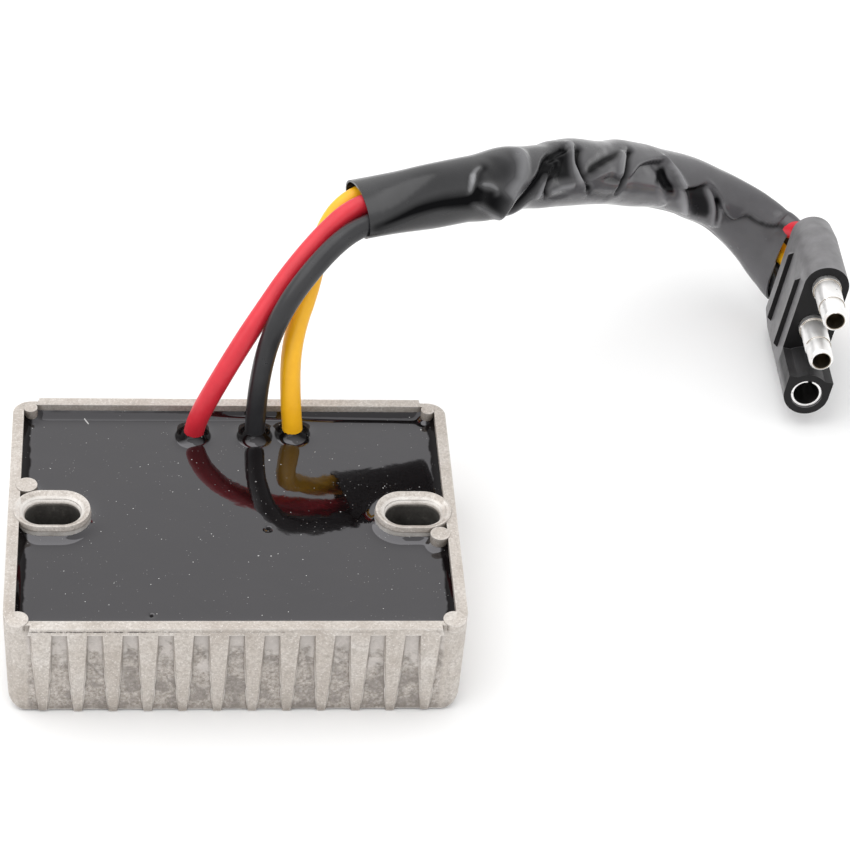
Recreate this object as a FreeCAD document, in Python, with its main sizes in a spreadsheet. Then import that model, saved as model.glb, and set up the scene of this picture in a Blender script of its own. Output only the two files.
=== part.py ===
"""Voltage regulator rectifier: a ribbed die-cast housing filled with potting, and its three-wire lead.

Millimetres. The origin is the middle of the housing's underside, X runs along the long side,
Y runs to the wires' edge and Z points up, out of the open side.
"""
import FreeCAD, Part
import math
import os
import Sketcher

doc = FreeCAD.newDocument("regulator_rectifier")
sheet = doc.addObject("Spreadsheet::Sheet", "Sizes")
Vec = FreeCAD.Vector

SIZES = {
    # Casting
    "HousingWidth": 80.0,
    "HousingDepth": 62.5,
    "HousingHeight": 20.5,
    "SideLean": 0.75,
    "CornerRound": 3.4,
    "UnderRound": 3.2,
    "RimDrop": 0.15,
    "RimWidth": 2.0,
    "FloorThickness": 3.6,
    "CavityRound": 2.0,
    "CavityDraft": 1.2,
    "FootHeight": 0.3,
    # Ribs on the long walls
    "RibCount": 12,
    "RibPitch": 6.07,
    "RibDepth": 1.0,
    "RibFootDepth": 0.28,
    "RibTopFace": 2.8,
    "RibTopRoot": 3.9,
    "RibFootFace": 1.45,
    "RibFootRoot": 2.6,
    "BandHeight": 1.6,
    # Screw slots and their bosses
    "SlotInset": 7.85,
    "SlotSetback": 0.5,
    "SlotLength": 9.9,
    "SlotWidth": 6.5,
    "BossWall": 1.7,
    "BossDrop": 0.6,
    "SlotChamfer": 0.7,
    # Pads and pegs left by the die
    "PadDiameter": 3.9,
    "PadInsetX": 2.45,
    "PadInsetY": 2.35,
    "PadHeight": 1.5,
    "PegDiameter": 2.5,
    "PegInsetX": 3.2,
    "PegInsetY": 3.0,
    "SidePegDiameter": 3.5,
    "SidePegInset": 3.35,
    "SidePegSetback": 6.6,
    "SideBossDiameter": 3.8,
    "SideBossInset": 3.1,
    "SideBossAdvance": 6.4,
    # Potting
    "PottingDrop": 2.5,
    "PottingTuck": 0.2,
    # Circuit board
    "BoardBossGap": 1.5,
    "BoardWallGap": 3.25,
    "BoardThickness": 1.6,
    "BoardLift": 5.6,
    # Power devices, flat on the floor
    "PadThickness": 0.3,
    "PadWidth": 12.0,
    "PadLength": 16.0,
    "DeviceSpacing": 15.5,
    "DeviceSetback": 11.0,
    "DeviceBodyWidth": 10.0,
    "DeviceBodyLength": 9.2,
    "DeviceBodyHeight": 4.4,
    "TabThickness": 1.3,
    "TabLength": 6.4,
    "TabHole": 3.6,
    "LegPitch": 2.54,
    "LegWidth": 0.8,
    "LegReach": 3.0,
    "LegHeight": 2.4,
    "LegProud": 1.0,
    # Small parts on the board, in a middle column and one each side of it
    "ColumnInset": 8.5,
    "CapacitorDiameter": 5.0,
    "CapacitorLength": 11.0,
    "CapacitorY": 12.0,
    "ZenerDiameter": 2.7,
    "ZenerLength": 5.2,
    "ZenerY": 13.0,
    "DiodeDiameter": 1.9,
    "DiodeLength": 4.2,
    "DiodeY": 3.0,
    "DiodePitch": 4.0,
    "ResistorDiameter": 2.4,
    "ResistorLength": 6.5,
    "GateResistorY": 9.6,
    "DividerY": -8.0,
    "ResistorPitch": 4.4,
    "AxialLead": 0.6,
    "AxialReach": 2.2,
    "SeatGap": 0.3,
    "TransistorDiameter": 4.8,
    "TransistorFlat": 1.2,
    "TransistorHeight": 4.2,
    "TransistorStand": 1.2,
    "TransistorX": 2.0,
    "TransistorY": 16.0,
    "TransistorLeg": 0.5,
    "TransistorPitch": 1.27,
    # Lead
    "WireDiameter": 3.8,
    "ConductorDiameter": 2.3,
    "SleeveDiameter": 11.5,
    "SleeveWall": 0.5,
    # Moulded connector, measured from the middle of its front face
    "ConnectorX": 115.83,
    "ConnectorY": 60.43,
    "ConnectorZ": 15.9,
    "ConnectorYaw": -151.83,
    "ConnectorPitch": 79.13,
    "ConnectorRoll": -59.02,
    "WayPitch": 9.3,
    "ConnectorThickness": 9.0,
    "ConnectorLength": 21.0,
    "ConnectorTaper": 0.6,
    "TaperLength": 5.0,
    "ShroudLength": 10.5,
    "ShroudFlat": 3.5,
    "GripGroove": 0.8,
    "GripDepth": 0.5,
    "GripLength": 16.4,
    "GripRear": 14.0,
    "GripFront": 4.2,
    # Bullet pins and socket
    "PinLength": 12.5,
    "PinCollar": 5.7,
    "PinCollarLength": 1.3,
    "PinBarrel": 5.2,
    "PinBarrelLength": 7.6,
    "PinNose": 4.8,
    "PinNoseBevel": 0.5,
    "PinHole": 3.45,
    "PinHoleDepth": 9.0,
    "CrimpDiameter": 4.9,
    "CrimpLength": 12.0,
    "ConductorInCrimp": 7.0,
    "SocketDiameter": 6.2,
    "SocketBore": 5.0,
    "SocketBoreDepth": 11.0,
    "SocketInset": 0.4,
    "SocketNeck": 1.0,
    "SocketSlit": 0.8,
    "SocketSlitLength": 7.0,
}

for row, (alias, amount) in enumerate(SIZES.items(), 1):
    sheet.set(f"A{row}", alias)
    sheet.set(f"B{row}", str(amount))
    sheet.setAlias(f"B{row}", alias)
doc.recompute()


# Formulas

def formula(text):
    """A formula with its size names pointed at the sheet."""
    for alias in sorted(SIZES, key=len, reverse=True):
        text = text.replace(f"[{alias}]", f"Sizes.{alias}")
    return text


def amount_of(text):
    """What a formula comes to now."""
    return float(sheet.evalExpression(formula(text)))


def bind(thing, **formulas):
    for name, text in formulas.items():
        thing.setExpression(name, formula(text))


# Sketches

def sketch_on(body, role, lift="0"):
    """An empty sketch on one of the body's own planes, moved along the plane's normal."""
    plane = next(item for item in body.Origin.OriginFeatures if item.Role == role)
    sketch = body.newObject("Sketcher::SketchObject", "Sketch")
    sketch.AttachmentSupport = [(plane, "")]
    sketch.MapMode = "FlatFace"
    sketch.setExpression("AttachmentOffset.Base.z", formula(lift))
    return sketch


def hold(sketch, geometry, point, x, y):
    """Fixes one point of a sketch at two formulas."""
    for kind, text in (("DistanceX", x), ("DistanceY", y)):
        index = sketch.addConstraint(Sketcher.Constraint(kind, -1, 1, geometry, point, amount_of(text)))
        sketch.setExpression(f"Constraints[{index}]", formula(text))


def outline(sketch, corners):
    """A closed loop through corners (x, y) or (x, y, radius), with the rounds tangent to its sides."""
    points = [Vec(amount_of(corner[0]), amount_of(corner[1]), 0) for corner in corners]
    radii = [amount_of(corner[2]) if len(corner) > 2 else 0 for corner in corners]
    count = len(points)
    arrive = []
    leave = []
    turns = []
    for index, point in enumerate(points):
        into = (point - points[index - 1]).normalize()
        onward = (points[(index + 1) % count] - point).normalize()
        setback = radii[index] * math.tan(into.getAngle(onward) / 2)
        arrive.append(point - into * setback)
        leave.append(point + onward * setback)
        turns.append(into.cross(onward).z)
    sides = [sketch.addGeometry(Part.LineSegment(leave[index], arrive[(index + 1) % count]))
             for index in range(count)]
    for index, corner in enumerate(corners):
        before = sides[index - 1]
        after = sides[index]
        if not radii[index]:
            sketch.addConstraint(Sketcher.Constraint("Coincident", before, 2, after, 1))
            hold(sketch, after, 1, corner[0], corner[1])
            continue
        left = turns[index] > 0
        into = (arrive[index] - points[index]).normalize() * -1
        normal = Vec(-into.y, into.x, 0) * (1 if left else -1)
        centre = arrive[index] + normal * radii[index]
        first = arrive[index] if left else leave[index]
        last = leave[index] if left else arrive[index]
        start = math.atan2(first.y - centre.y, first.x - centre.x)
        end = math.atan2(last.y - centre.y, last.x - centre.x)
        circle = Part.Circle(centre, Vec(0, 0, 1), radii[index])
        arc = sketch.addGeometry(Part.ArcOfCircle(circle, start, end))
        sketch.addConstraint(Sketcher.Constraint("Tangent", before, 2, arc, 1 if left else 2))
        sketch.addConstraint(Sketcher.Constraint("Tangent", after, 1, arc, 2 if left else 1))
        round_index = sketch.addConstraint(Sketcher.Constraint("Radius", arc, radii[index]))
        sketch.setExpression(f"Constraints[{round_index}]", formula(corner[2]))
        mark = sketch.addGeometry(Part.Point(points[index]), True)
        sketch.addConstraint(Sketcher.Constraint("PointOnObject", mark, 1, before))
        sketch.addConstraint(Sketcher.Constraint("PointOnObject", mark, 1, after))
        hold(sketch, mark, 1, corner[0], corner[1])


def rectangle(sketch, width, depth, radius=None):
    """A rectangle about the origin, with rounded corners if a radius is given."""
    extra = (radius,) if radius else ()
    outline(sketch, [(f"{x} * ({width}) / 2", f"{y} * ({depth}) / 2") + extra
                     for x, y in ((-1, -1), (1, -1), (1, 1), (-1, 1))])


def disc(sketch, x, y, diameter):
    circle = sketch.addGeometry(Part.Circle(Vec(amount_of(x), amount_of(y), 0), Vec(0, 0, 1),
                                            amount_of(diameter) / 2))
    index = sketch.addConstraint(Sketcher.Constraint("Diameter", circle, amount_of(diameter)))
    sketch.setExpression(f"Constraints[{index}]", formula(diameter))
    hold(sketch, circle, 3, x, y)


def slot(sketch, x, y, length, width):
    """A slot with round ends, its length along the sketch's first axis."""
    reach = f"(({length}) - ({width})) / 2"
    radius = amount_of(width) / 2
    middle = Vec(amount_of(x), amount_of(y), 0)
    away = Vec(amount_of(reach), 0, 0)
    side = Vec(0, radius, 0)
    ends = []
    for centre, start in ((middle + away, -math.pi / 2), (middle - away, math.pi / 2)):
        circle = Part.Circle(centre, Vec(0, 0, 1), radius)
        ends.append(sketch.addGeometry(Part.ArcOfCircle(circle, start, start + math.pi)))
    right, left = ends
    upper = sketch.addGeometry(Part.LineSegment(middle + away + side, middle - away + side))
    lower = sketch.addGeometry(Part.LineSegment(middle - away - side, middle + away - side))
    for line, point, arc, arc_point in ((upper, 1, right, 2), (upper, 2, left, 1),
                                        (lower, 1, left, 2), (lower, 2, right, 1)):
        sketch.addConstraint(Sketcher.Constraint("Tangent", line, point, arc, arc_point))
    sketch.addConstraint(Sketcher.Constraint("Equal", right, left))
    index = sketch.addConstraint(Sketcher.Constraint("Radius", right, radius))
    sketch.setExpression(f"Constraints[{index}]", formula(f"({width}) / 2"))
    hold(sketch, right, 3, f"({x}) + {reach}", y)
    hold(sketch, left, 3, f"({x}) - {reach}", y)


# Features of a body

def pad(body, sketch, length, downward=False):
    feature = body.newObject("PartDesign::Pad", "Pad")
    feature.Profile = sketch
    feature.Reversed = downward
    bind(feature, Length=length)
    return feature


def pocket(body, sketch, depth, upward=False, both_ways=False):
    """A pocket that has to take material away."""
    doc.recompute()
    before = body.Shape.Volume
    feature = body.newObject("PartDesign::Pocket", "Pocket")
    feature.Profile = sketch
    feature.Reversed = upward
    if both_ways:
        feature.Midplane = True
    bind(feature, Length=depth)
    doc.recompute()
    if body.Shape.Volume > before - 0.01:
        raise RuntimeError(f"a pocket of {body.Label} cuts nothing")
    return feature


def loft(body, first, second):
    feature = body.newObject("PartDesign::AdditiveLoft", "Loft")
    feature.Profile = first
    feature.Sections = [second]
    feature.Ruled = True
    return feature


# Primitives and booleans

def name_it(thing, label):
    thing.Label = label
    return thing


def place(thing, x, y, z):
    thing.setExpression("Placement.Base.x", formula(x))
    thing.setExpression("Placement.Base.y", formula(y))
    thing.setExpression("Placement.Base.z", formula(z))


def block(length, width, height, x, y, z):
    """A box centred on x and y that stands on z."""
    box = doc.addObject("Part::Box", "Block")
    bind(box, Length=length, Width=width, Height=height)
    place(box, f"({x}) - ({length}) / 2", f"({y}) - ({width}) / 2", z)
    return box


def rod(diameter, length, x, y, z, along=Vec(0, 0, 1)):
    """A cylinder that starts at x, y, z and runs along one axis."""
    cylinder = doc.addObject("Part::Cylinder", "Rod")
    bind(cylinder, Radius=f"({diameter}) / 2", Height=length)
    cylinder.Placement.Rotation = FreeCAD.Rotation(Vec(0, 0, 1), along)
    place(cylinder, x, y, z)
    return cylinder


def fuse(shapes, label):
    union = doc.addObject("Part::MultiFuse", "Fuse")
    union.Shapes = shapes
    return name_it(union, label)


def cut(base, tool, label):
    difference = doc.addObject("Part::Cut", "Cut")
    difference.Base = base
    difference.Tool = tool
    return name_it(difference, label)


def group(shapes, label):
    """Separate like pieces that share one node."""
    compound = doc.addObject("Part::Compound", "Group")
    compound.Links = shapes
    return name_it(compound, label)


# Heights that several pieces share

RIM_TOP = "([HousingHeight] - [RimDrop])"
BAND_FOOT = f"({RIM_TOP} - [BandHeight])"
FLOOR_TOP = "([FootHeight] + [FloorThickness])"
BOSS_TOP = "([HousingHeight] - [BossDrop])"
POTTING_TOP = "([HousingHeight] - [PottingDrop])"
WALL_DEPTH = "([HousingDepth] - 2 * [RibDepth])"
CAVITY_WIDTH = "([HousingWidth] - 2 * [RimWidth])"
CAVITY_DEPTH = "([HousingDepth] - 2 * [RimWidth])"
SLOT_X = "([HousingWidth] / 2 - [SlotInset])"
SLOT_Y = "(0 - [SlotSetback])"
BOSS_FOOT = f"({FLOOR_TOP} - [FloorThickness] / 4)"
DEVICE_FOOT = f"({FLOOR_TOP} + [PadThickness])"
BOARD_WIDTH = f"(2 * ({SLOT_X} - [SlotLength] / 2 - [BossWall] - [BoardBossGap]))"
BOARD_DEPTH = f"({CAVITY_DEPTH} - 2 * [BoardWallGap])"
COLUMN_X = f"({BOARD_WIDTH} / 2 - [ColumnInset])"
BOARD_FOOT = f"({FLOOR_TOP} + [BoardLift])"
BOARD_TOP = f"({BOARD_FOOT} + [BoardThickness])"


# Housing

def rib_section(body, lift, face, root, depth):
    """One rib's plan: it runs from the front wall to the back wall and has leaning flanks."""
    sketch = sketch_on(body, "XY_Plane", lift)
    middle = "(0 - ([RibCount] - 1) / 2 * [RibPitch])"
    front = f"({WALL_DEPTH} / 2 + ({depth}))"
    corners = []
    for side, ways in ((-1, (-1, 1)), (1, (1, -1))):
        for way in ways:
            at_root = (f"{middle} + {way} * ({root}) / 2", f"{side} * {WALL_DEPTH} / 2")
            at_face = (f"{middle} + {way} * ({face}) / 2", f"{side} * {front}")
            corners += [at_root, at_face] if way == ways[0] else [at_face, at_root]
    outline(sketch, corners)
    return sketch


def housing():
    body = doc.addObject("PartDesign::Body", "Housing")
    body.Label = "housing"

    # The block: upright long walls, set back behind the ribs' faces
    plan = sketch_on(body, "XY_Plane", "[FootHeight]")
    rectangle(plan, "[HousingWidth]", WALL_DEPTH, "[CornerRound]")
    pad(body, plan, f"{RIM_TOP} - [FootHeight]")

    # The band under the rim, as far out as the ribs
    band = sketch_on(body, "XY_Plane", BAND_FOOT)
    rectangle(band, "([RibCount] - 1) * [RibPitch] + [RibTopRoot]", "[HousingDepth]")
    pad(body, band, "[BandHeight]")

    # The ribs: wide under the band, narrow at the foot, and low across the underside
    foot = rib_section(body, "0", "[RibFootFace]", "[RibFootRoot]", "[RibFootDepth]")
    head = rib_section(body, BAND_FOOT, "[RibTopFace]", "[RibTopRoot]", "[RibDepth]")
    rib = loft(body, foot, head)
    ribs = body.newObject("PartDesign::LinearPattern", "Ribs")
    ribs.Originals = [rib]
    along = next(item for item in body.Origin.OriginFeatures if item.Role == "X_Axis")
    ribs.Direction = (along, [""])
    bind(ribs, Length="([RibCount] - 1) * [RibPitch]", Occurrences="[RibCount]")
    body.Tip = ribs

    # The short walls lean in towards a rounded lower edge
    for side in (-1, 1):
        shoulder = sketch_on(body, "XZ_Plane")
        outer = f"{side} * ([HousingWidth] / 2 + 5)"
        corners = [(f"{side} * [HousingWidth] / 2", RIM_TOP),
                   (f"{side} * ([HousingWidth] / 2 - [SideLean])", "[FootHeight]", "[UnderRound]"),
                   (f"{side} * ([HousingWidth] / 2 - 3 * [UnderRound])", "[FootHeight]"),
                   (f"{side} * ([HousingWidth] / 2 - 3 * [UnderRound])", "-5"),
                   (outer, "-5"),
                   (outer, RIM_TOP)]
        outline(shoulder, corners)
        pocket(body, shoulder, "2 * [HousingDepth]", both_ways=True)

    # Pads at the front corners
    pads = sketch_on(body, "XY_Plane", "[HousingHeight]")
    for side in (-1, 1):
        disc(pads, f"{side} * ([HousingWidth] / 2 - [PadInsetX])",
             "0 - ([HousingDepth] / 2 - [PadInsetY])", "[PadDiameter]")
    pad(body, pads, "[PadHeight]", downward=True)

    # The cavity, which narrows a little to its floor
    cavity = sketch_on(body, "XY_Plane", RIM_TOP)
    rectangle(cavity, CAVITY_WIDTH, CAVITY_DEPTH, "[CavityRound]")
    hollow = pocket(body, cavity, f"{RIM_TOP} - {FLOOR_TOP}")
    hollow.TaperAngle = -amount_of("[CavityDraft]")
    bind(hollow, TaperAngle="0 - [CavityDraft]")

    # Slotted bosses, merged with the short walls and rising out of the floor
    for side in (-1, 1):
        boss = sketch_on(body, "XY_Plane", BOSS_FOOT)
        slot(boss, f"{side} * {SLOT_X}", SLOT_Y, "[SlotLength] + 2 * [BossWall]",
             "[SlotWidth] + 2 * [BossWall]")
        pad(body, boss, f"{BOSS_TOP} - {BOSS_FOOT}")
    for side in (-1, 1):
        opening = sketch_on(body, "XY_Plane", BOSS_TOP)
        slot(opening, f"{side} * {SLOT_X}", SLOT_Y, "[SlotLength]", "[SlotWidth]")
        pocket(body, opening, "2 * [HousingHeight]")

    # Pegs that stand on the floor: two at the back corners, one each side of the slots
    pegs = sketch_on(body, "XY_Plane", BOSS_FOOT)
    for side in (-1, 1):
        disc(pegs, f"{side} * ([HousingWidth] / 2 - [PegInsetX])", "[HousingDepth] / 2 - [PegInsetY]",
             "[PegDiameter]")
    disc(pegs, "[HousingWidth] / 2 - [SidePegInset]", "0 - [SidePegSetback]", "[SidePegDiameter]")
    disc(pegs, "0 - ([HousingWidth] / 2 - [SideBossInset])", "[SideBossAdvance]", "[SideBossDiameter]")
    pad(body, pegs, f"[HousingHeight] - {BOSS_FOOT}")

    # The slots' upper edges slope inwards
    doc.recompute()
    top = amount_of(BOSS_TOP)
    last = body.Tip
    edges = []
    for number, edge in enumerate(last.Shape.Edges, 1):
        box = edge.BoundBox
        level = abs(box.ZMin - top) < 1e-6 and abs(box.ZMax - top) < 1e-6
        across = abs(abs(box.Center.x) - amount_of(SLOT_X)) < amount_of("[SlotLength]") / 2
        inner = abs(box.YMin - amount_of(SLOT_Y)) < amount_of("[SlotWidth]") / 2 + 1e-6
        if level and across and inner and box.XLength < amount_of("[SlotLength]") / 2:
            edges.append(f"Edge{number}")
    bevel = body.newObject("PartDesign::Chamfer", "Chamfer")
    bevel.Base = (last, edges)
    bind(bevel, Size="[SlotChamfer]")
    body.Tip = bevel
    return body


# What is sealed inside

def device(label, x, leg_places):
    """A power device in a moulded case, its metal tab flat on the floor under it."""
    y = "(0 - [DeviceSetback])"
    body = block("[DeviceBodyWidth]", "[DeviceBodyLength]", "[DeviceBodyHeight]", x, y, DEVICE_FOOT)
    tab_y = f"{y} - ([DeviceBodyLength] + [TabLength]) / 2"
    tab = block("[DeviceBodyWidth]", "[TabLength]", "[TabThickness]", x, tab_y, DEVICE_FOOT)
    hole = rod("[TabHole]", "[TabThickness]", x, tab_y, DEVICE_FOOT)
    pieces = [body, cut(tab, hole, f"{label}_tab")]
    edge = f"({y} + [DeviceBodyLength] / 2)"
    lift = f"({DEVICE_FOOT} + [LegHeight])"
    for leg_place in leg_places:
        leg_x = f"{x} + {leg_place} * [LegPitch]"
        pieces.append(block("[LegWidth]", "[LegReach]", "[LegWidth] / 2", leg_x,
                            f"{edge} + [LegReach] / 2", lift))
        pieces.append(block("[LegWidth]", "[LegWidth] / 2", f"{BOARD_TOP} + [LegProud] - {lift}", leg_x,
                            f"{edge} + [LegReach] - [LegWidth] / 4", lift))
    return fuse(pieces, label)


def axial(label, diameter, length, x, y):
    """A cylinder on its side over the board, with its two leads bent down into it."""
    middle = f"({BOARD_TOP} + [SeatGap] + ({diameter}) / 2)"
    pieces = [rod(diameter, length, f"({x}) - ({length}) / 2", y, middle, Vec(1, 0, 0))]
    for side in (-1, 1):
        inner = f"(({x}) + {side} * ({length}) / 2)"
        outer = f"({inner} + {side} * [AxialReach])"
        pieces.append(block("[AxialReach]", "[AxialLead]", "[AxialLead]", f"({inner} + {outer}) / 2", y,
                            f"{middle} - [AxialLead] / 2"))
        pieces.append(block("[AxialLead]", "[AxialLead]", f"{middle} + [AxialLead] / 2 - {BOARD_FOOT}",
                            f"{outer} - {side} * [AxialLead] / 2", y, BOARD_FOOT))
    return fuse(pieces, label)


def transistor():
    """A small transistor: a round case with a flat front, standing on three legs."""
    lift = f"({BOARD_TOP} + [TransistorStand])"
    case = rod("[TransistorDiameter]", "[TransistorHeight]", "[TransistorX]", "[TransistorY]", lift)
    front = block("2 * [TransistorDiameter]", "[TransistorDiameter]", "2 * [TransistorHeight]",
                  "[TransistorX]", "[TransistorY] - [TransistorDiameter] / 2 - [TransistorFlat]", BOARD_TOP)
    pieces = [cut(case, front, "transistor_case")]
    for leg_place in (-1, 0, 1):
        pieces.append(block("[TransistorLeg]", "[TransistorLeg]", f"{lift} - {BOARD_FOOT}",
                            f"[TransistorX] + {leg_place} * [TransistorPitch]", "[TransistorY]", BOARD_FOOT))
    return fuse(pieces, "control_transistor")


def capacitor(x):
    """An electrolytic capacitor on its side, with both leads out of one end."""
    middle = f"({BOARD_TOP} + [SeatGap] + [CapacitorDiameter] / 2)"
    can = rod("[CapacitorDiameter]", "[CapacitorLength]", x, "[CapacitorY] - [CapacitorLength] / 2", middle,
              Vec(0, 1, 0))
    pieces = [can]
    end = "([CapacitorY] + [CapacitorLength] / 2)"
    for side in (-1, 1):
        lead_x = f"{x} + {side} * [LegPitch] / 2"
        pieces.append(block("[AxialLead]", "[AxialReach]", "[AxialLead]", lead_x,
                            f"{end} + [AxialReach] / 2", f"{middle} - [AxialLead] / 2"))
        pieces.append(block("[AxialLead]", "[AxialLead]", f"{middle} + [AxialLead] / 2 - {BOARD_FOOT}",
                            lead_x, f"{end} + [AxialReach] - [AxialLead] / 2", BOARD_FOOT))
    return fuse(pieces, "filter_capacitor")


def row(label, count, diameter, length, x, y, pitch):
    """Like axial parts side by side, in one node."""
    return group([axial(f"{label}_{number + 1}", diameter, length, x, f"{y} + {number} * {pitch}")
                  for number in range(count)], label)


# Cords: straight runs joined by tangent arcs, through points chosen by hand

RED_ROUTE = [(-7.2, 23.0, 13.5), (-6.7, 22.4, 20.3), (-4.8, 22.9, 26.8), (-0.3, 26.0, 34.0),
             (5.6, 31.6, 41.2), (11.6, 37.4, 47.9), (17.0, 42.2, 53.2), (22.8, 45.7, 56.3),
             (32.8, 47.6, 57.4), (43.5, 52.0, 56.9), (55.7, 60.5, 53.6), (68.9, 73.8, 46.1), (81.3, 86.8, 36.6),
             (91.7, 93.2, 30.1), (100.3, 95.5, 24.7), (106.4, 94.9, 20.9), (111.6, 92.6, 18.5),
             (115.4, 87.8, 19.3), (118.27, 82.9, 22.88), (118.02, 76.9, 23.47)]
BLACK_ROUTE = [(4.4, 23.0, 13.5), (4.4, 23.1, 20.5), (5.0, 25.0, 28.6), (7.2, 27.4, 37.6), (11.4, 30.4, 44.6),
               (17.3, 36.6, 49.5), (23.0, 43.8, 52.5), (33.6, 45.6, 53.5), (44.1, 49.7, 53.0),
               (56.2, 58.0, 49.9), (69.3, 71.0, 42.5), (81.4, 83.9, 33.2), (90.9, 90.3, 26.7),
               (98.5, 93.0, 21.4), (103.9, 93.0, 17.6), (107.3, 91.9, 13.8), (110.8, 90.5, 9.4),
               (113.8, 87.1, 6.2), (115.2, 82.5, 4.5), (114.95, 78.0, 4.94)]
YELLOW_ROUTE = [(11.6, 23.6, 13.5), (11.3, 23.9, 20.2), (10.6, 26.2, 27.6), (10.9, 30.4, 34.6),
                (12.8, 36.0, 40.4), (15.4, 41.8, 45.6), (18.6, 46.2, 49.8), (22.8, 48.0, 52.4),
                (32.3, 49.8, 53.5), (42.0, 53.7, 53.0), (53.4, 61.5, 49.9), (66.1, 74.2, 42.5),
                (78.5, 87.3, 33.2), (88.9, 94.4, 26.7), (97.9, 97.4, 21.4), (104.7, 97.4, 17.6),
                (111.5, 94.3, 13.8), (114.8, 88.6, 13.1), (116.75, 83.0, 13.65), (116.5, 76.9, 14.25)]
SLEEVE_ROUTE = [(23.1, 45.8, 53.7), (32.9, 47.6, 54.8), (43.2, 51.8, 54.3), (55.1, 60.0, 51.1),
                (68.1, 73.0, 43.7), (80.4, 86.0, 34.3), (90.5, 92.6, 27.8), (98.9, 95.3, 22.5),
                (105.0, 95.1, 18.7), (108.0, 94.1, 16.7)]
ARC_SHARE = 0.45


def path_of(route):
    """The wire that a route's runs and arcs make, and the radii of the arcs."""
    points = [Vec(*point) for point in route]
    edges = []
    radii = []
    here = points[0]
    for before, corner, after in zip(points, points[1:], points[2:]):
        half_turn = (corner - before).getAngle(after - corner) / 2
        setback = ARC_SHARE * min((corner - before).Length, (after - corner).Length)
        radius = setback / math.tan(half_turn)
        start = corner + (before - corner).normalize() * setback
        end = corner + (after - corner).normalize() * setback
        inward = ((start + end) / 2 - corner).normalize()
        middle = corner + inward * (radius / math.cos(half_turn) - radius)
        edges.append(Part.LineSegment(here, start).toShape())
        edges.append(Part.Arc(start, middle, end).toShape())
        radii.append(radius)
        here = end
    edges.append(Part.LineSegment(here, points[-1]).toShape())
    return Part.Wire(edges), radii


def tube(route, diameter):
    """A round solid along a route, checked against its section times its length."""
    path, radii = path_of(route)
    start = Vec(*route[0])
    section = Part.Face(Part.Wire(Part.makeCircle(diameter / 2, start, Vec(*route[1]) - start)))
    solid = path.makePipe(section)
    share = solid.Volume / (section.Area * path.Length)
    if abs(share - 1) > 0.01:
        raise RuntimeError(f"a tube has {share:.3f} of the volume that its length gives")
    bends = " ".join(f"{radius:.0f}" for radius in radii)
    print(f"diameter {diameter}: length {path.Length:.1f}, radii {bends}")
    return solid


def feature(label, shape):
    thing = doc.addObject("Part::Feature", label)
    thing.Shape = shape
    thing.Placement = FreeCAD.Placement()
    return name_it(thing, label)


def size_of(alias):
    return amount_of(f"[{alias}]")


def sleeve():
    """The plastic sleeve round the three wires, plain and round over its whole length."""
    outer = tube(SLEEVE_ROUTE, size_of("SleeveDiameter"))
    bore = tube(SLEEVE_ROUTE, size_of("SleeveDiameter") - 2 * size_of("SleeveWall"))
    return feature("wire_sleeve", outer.cut(bore))


def wire(label, route):
    return feature(label, tube(route, size_of("WireDiameter")))


def conductor(route, at_board):
    """The bare end of a wire's conductor: down into the board, or on into its terminal."""
    end, inner = (Vec(*route[0]), Vec(*route[1])) if at_board else (Vec(*route[-1]), Vec(*route[-2]))
    length = end.z - amount_of(BOARD_FOOT) if at_board else size_of("ConductorInCrimp")
    return Part.makeCylinder(size_of("ConductorDiameter") / 2, length, end, end - inner)


def conductors():
    ends = [conductor(route, at_board) for route in (RED_ROUTE, BLACK_ROUTE, YELLOW_ROUTE)
            for at_board in (True, False)]
    return feature("conductor_ends", Part.makeCompound(ends))


# Connector: in its own frame X runs from the upper pin to the socket and Z points out of its face

CONNECTOR_PLACE = ("placement(vector([ConnectorX]; [ConnectorY]; [ConnectorZ]);"
                   " rotation([ConnectorYaw]; [ConnectorPitch]; [ConnectorRoll]))")


def connector_block():
    """The moulding before its terminals and wires are taken out of it."""
    body = doc.addObject("PartDesign::Body", "ConnectorBlock")
    width = "2 * [WayPitch] + [ConnectorThickness]"
    rear = sketch_on(body, "XY_Plane", "0 - [ConnectorLength]")
    slot(rear, "0", "0", f"{width} - 2 * [ConnectorTaper]", "[ConnectorThickness] - [ConnectorTaper]")
    waist = sketch_on(body, "XY_Plane", "[TaperLength] - [ConnectorLength]")
    slot(waist, "0", "0", width, "[ConnectorThickness]")
    loft(body, rear, waist)
    front = sketch_on(body, "XY_Plane", "[TaperLength] - [ConnectorLength]")
    slot(front, "0", "0", width, "[ConnectorThickness]")
    pad(body, front, "[ConnectorLength] - [TaperLength]")

    # The socket's shroud: half round outside, flat towards the pins
    nose = sketch_on(body, "XY_Plane")
    disc(nose, "[WayPitch]", "0", "[ConnectorThickness]")
    pad(body, nose, "[ShroudLength]")
    flat = sketch_on(body, "XY_Plane")
    outline(flat, [("[WayPitch] - [ShroudFlat]", "0 - [ConnectorThickness] / 2"),
                   ("[WayPitch]", "0 - [ConnectorThickness] / 2"),
                   ("[WayPitch]", "[ConnectorThickness] / 2"),
                   ("[WayPitch] - [ShroudFlat]", "[ConnectorThickness] / 2")])
    pad(body, flat, "[ShroudLength]")

    # Two grip grooves across each flat side
    for side in (-1, 1):
        for back in ("[GripRear]", "[GripFront]"):
            groove = sketch_on(body, "XZ_Plane", f"{side} * [ConnectorThickness] / 2")
            outline(groove, [("0 - [GripLength] / 2", f"0 - {back} - [GripGroove] / 2"),
                             ("[GripLength] / 2", f"0 - {back} - [GripGroove] / 2"),
                             ("[GripLength] / 2", f"0 - {back} + [GripGroove] / 2"),
                             ("0 - [GripLength] / 2", f"0 - {back} + [GripGroove] / 2")])
            pocket(body, groove, "2 * [GripDepth]", both_ways=True)
    bind(body, Placement=CONNECTOR_PLACE)
    return body


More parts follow.
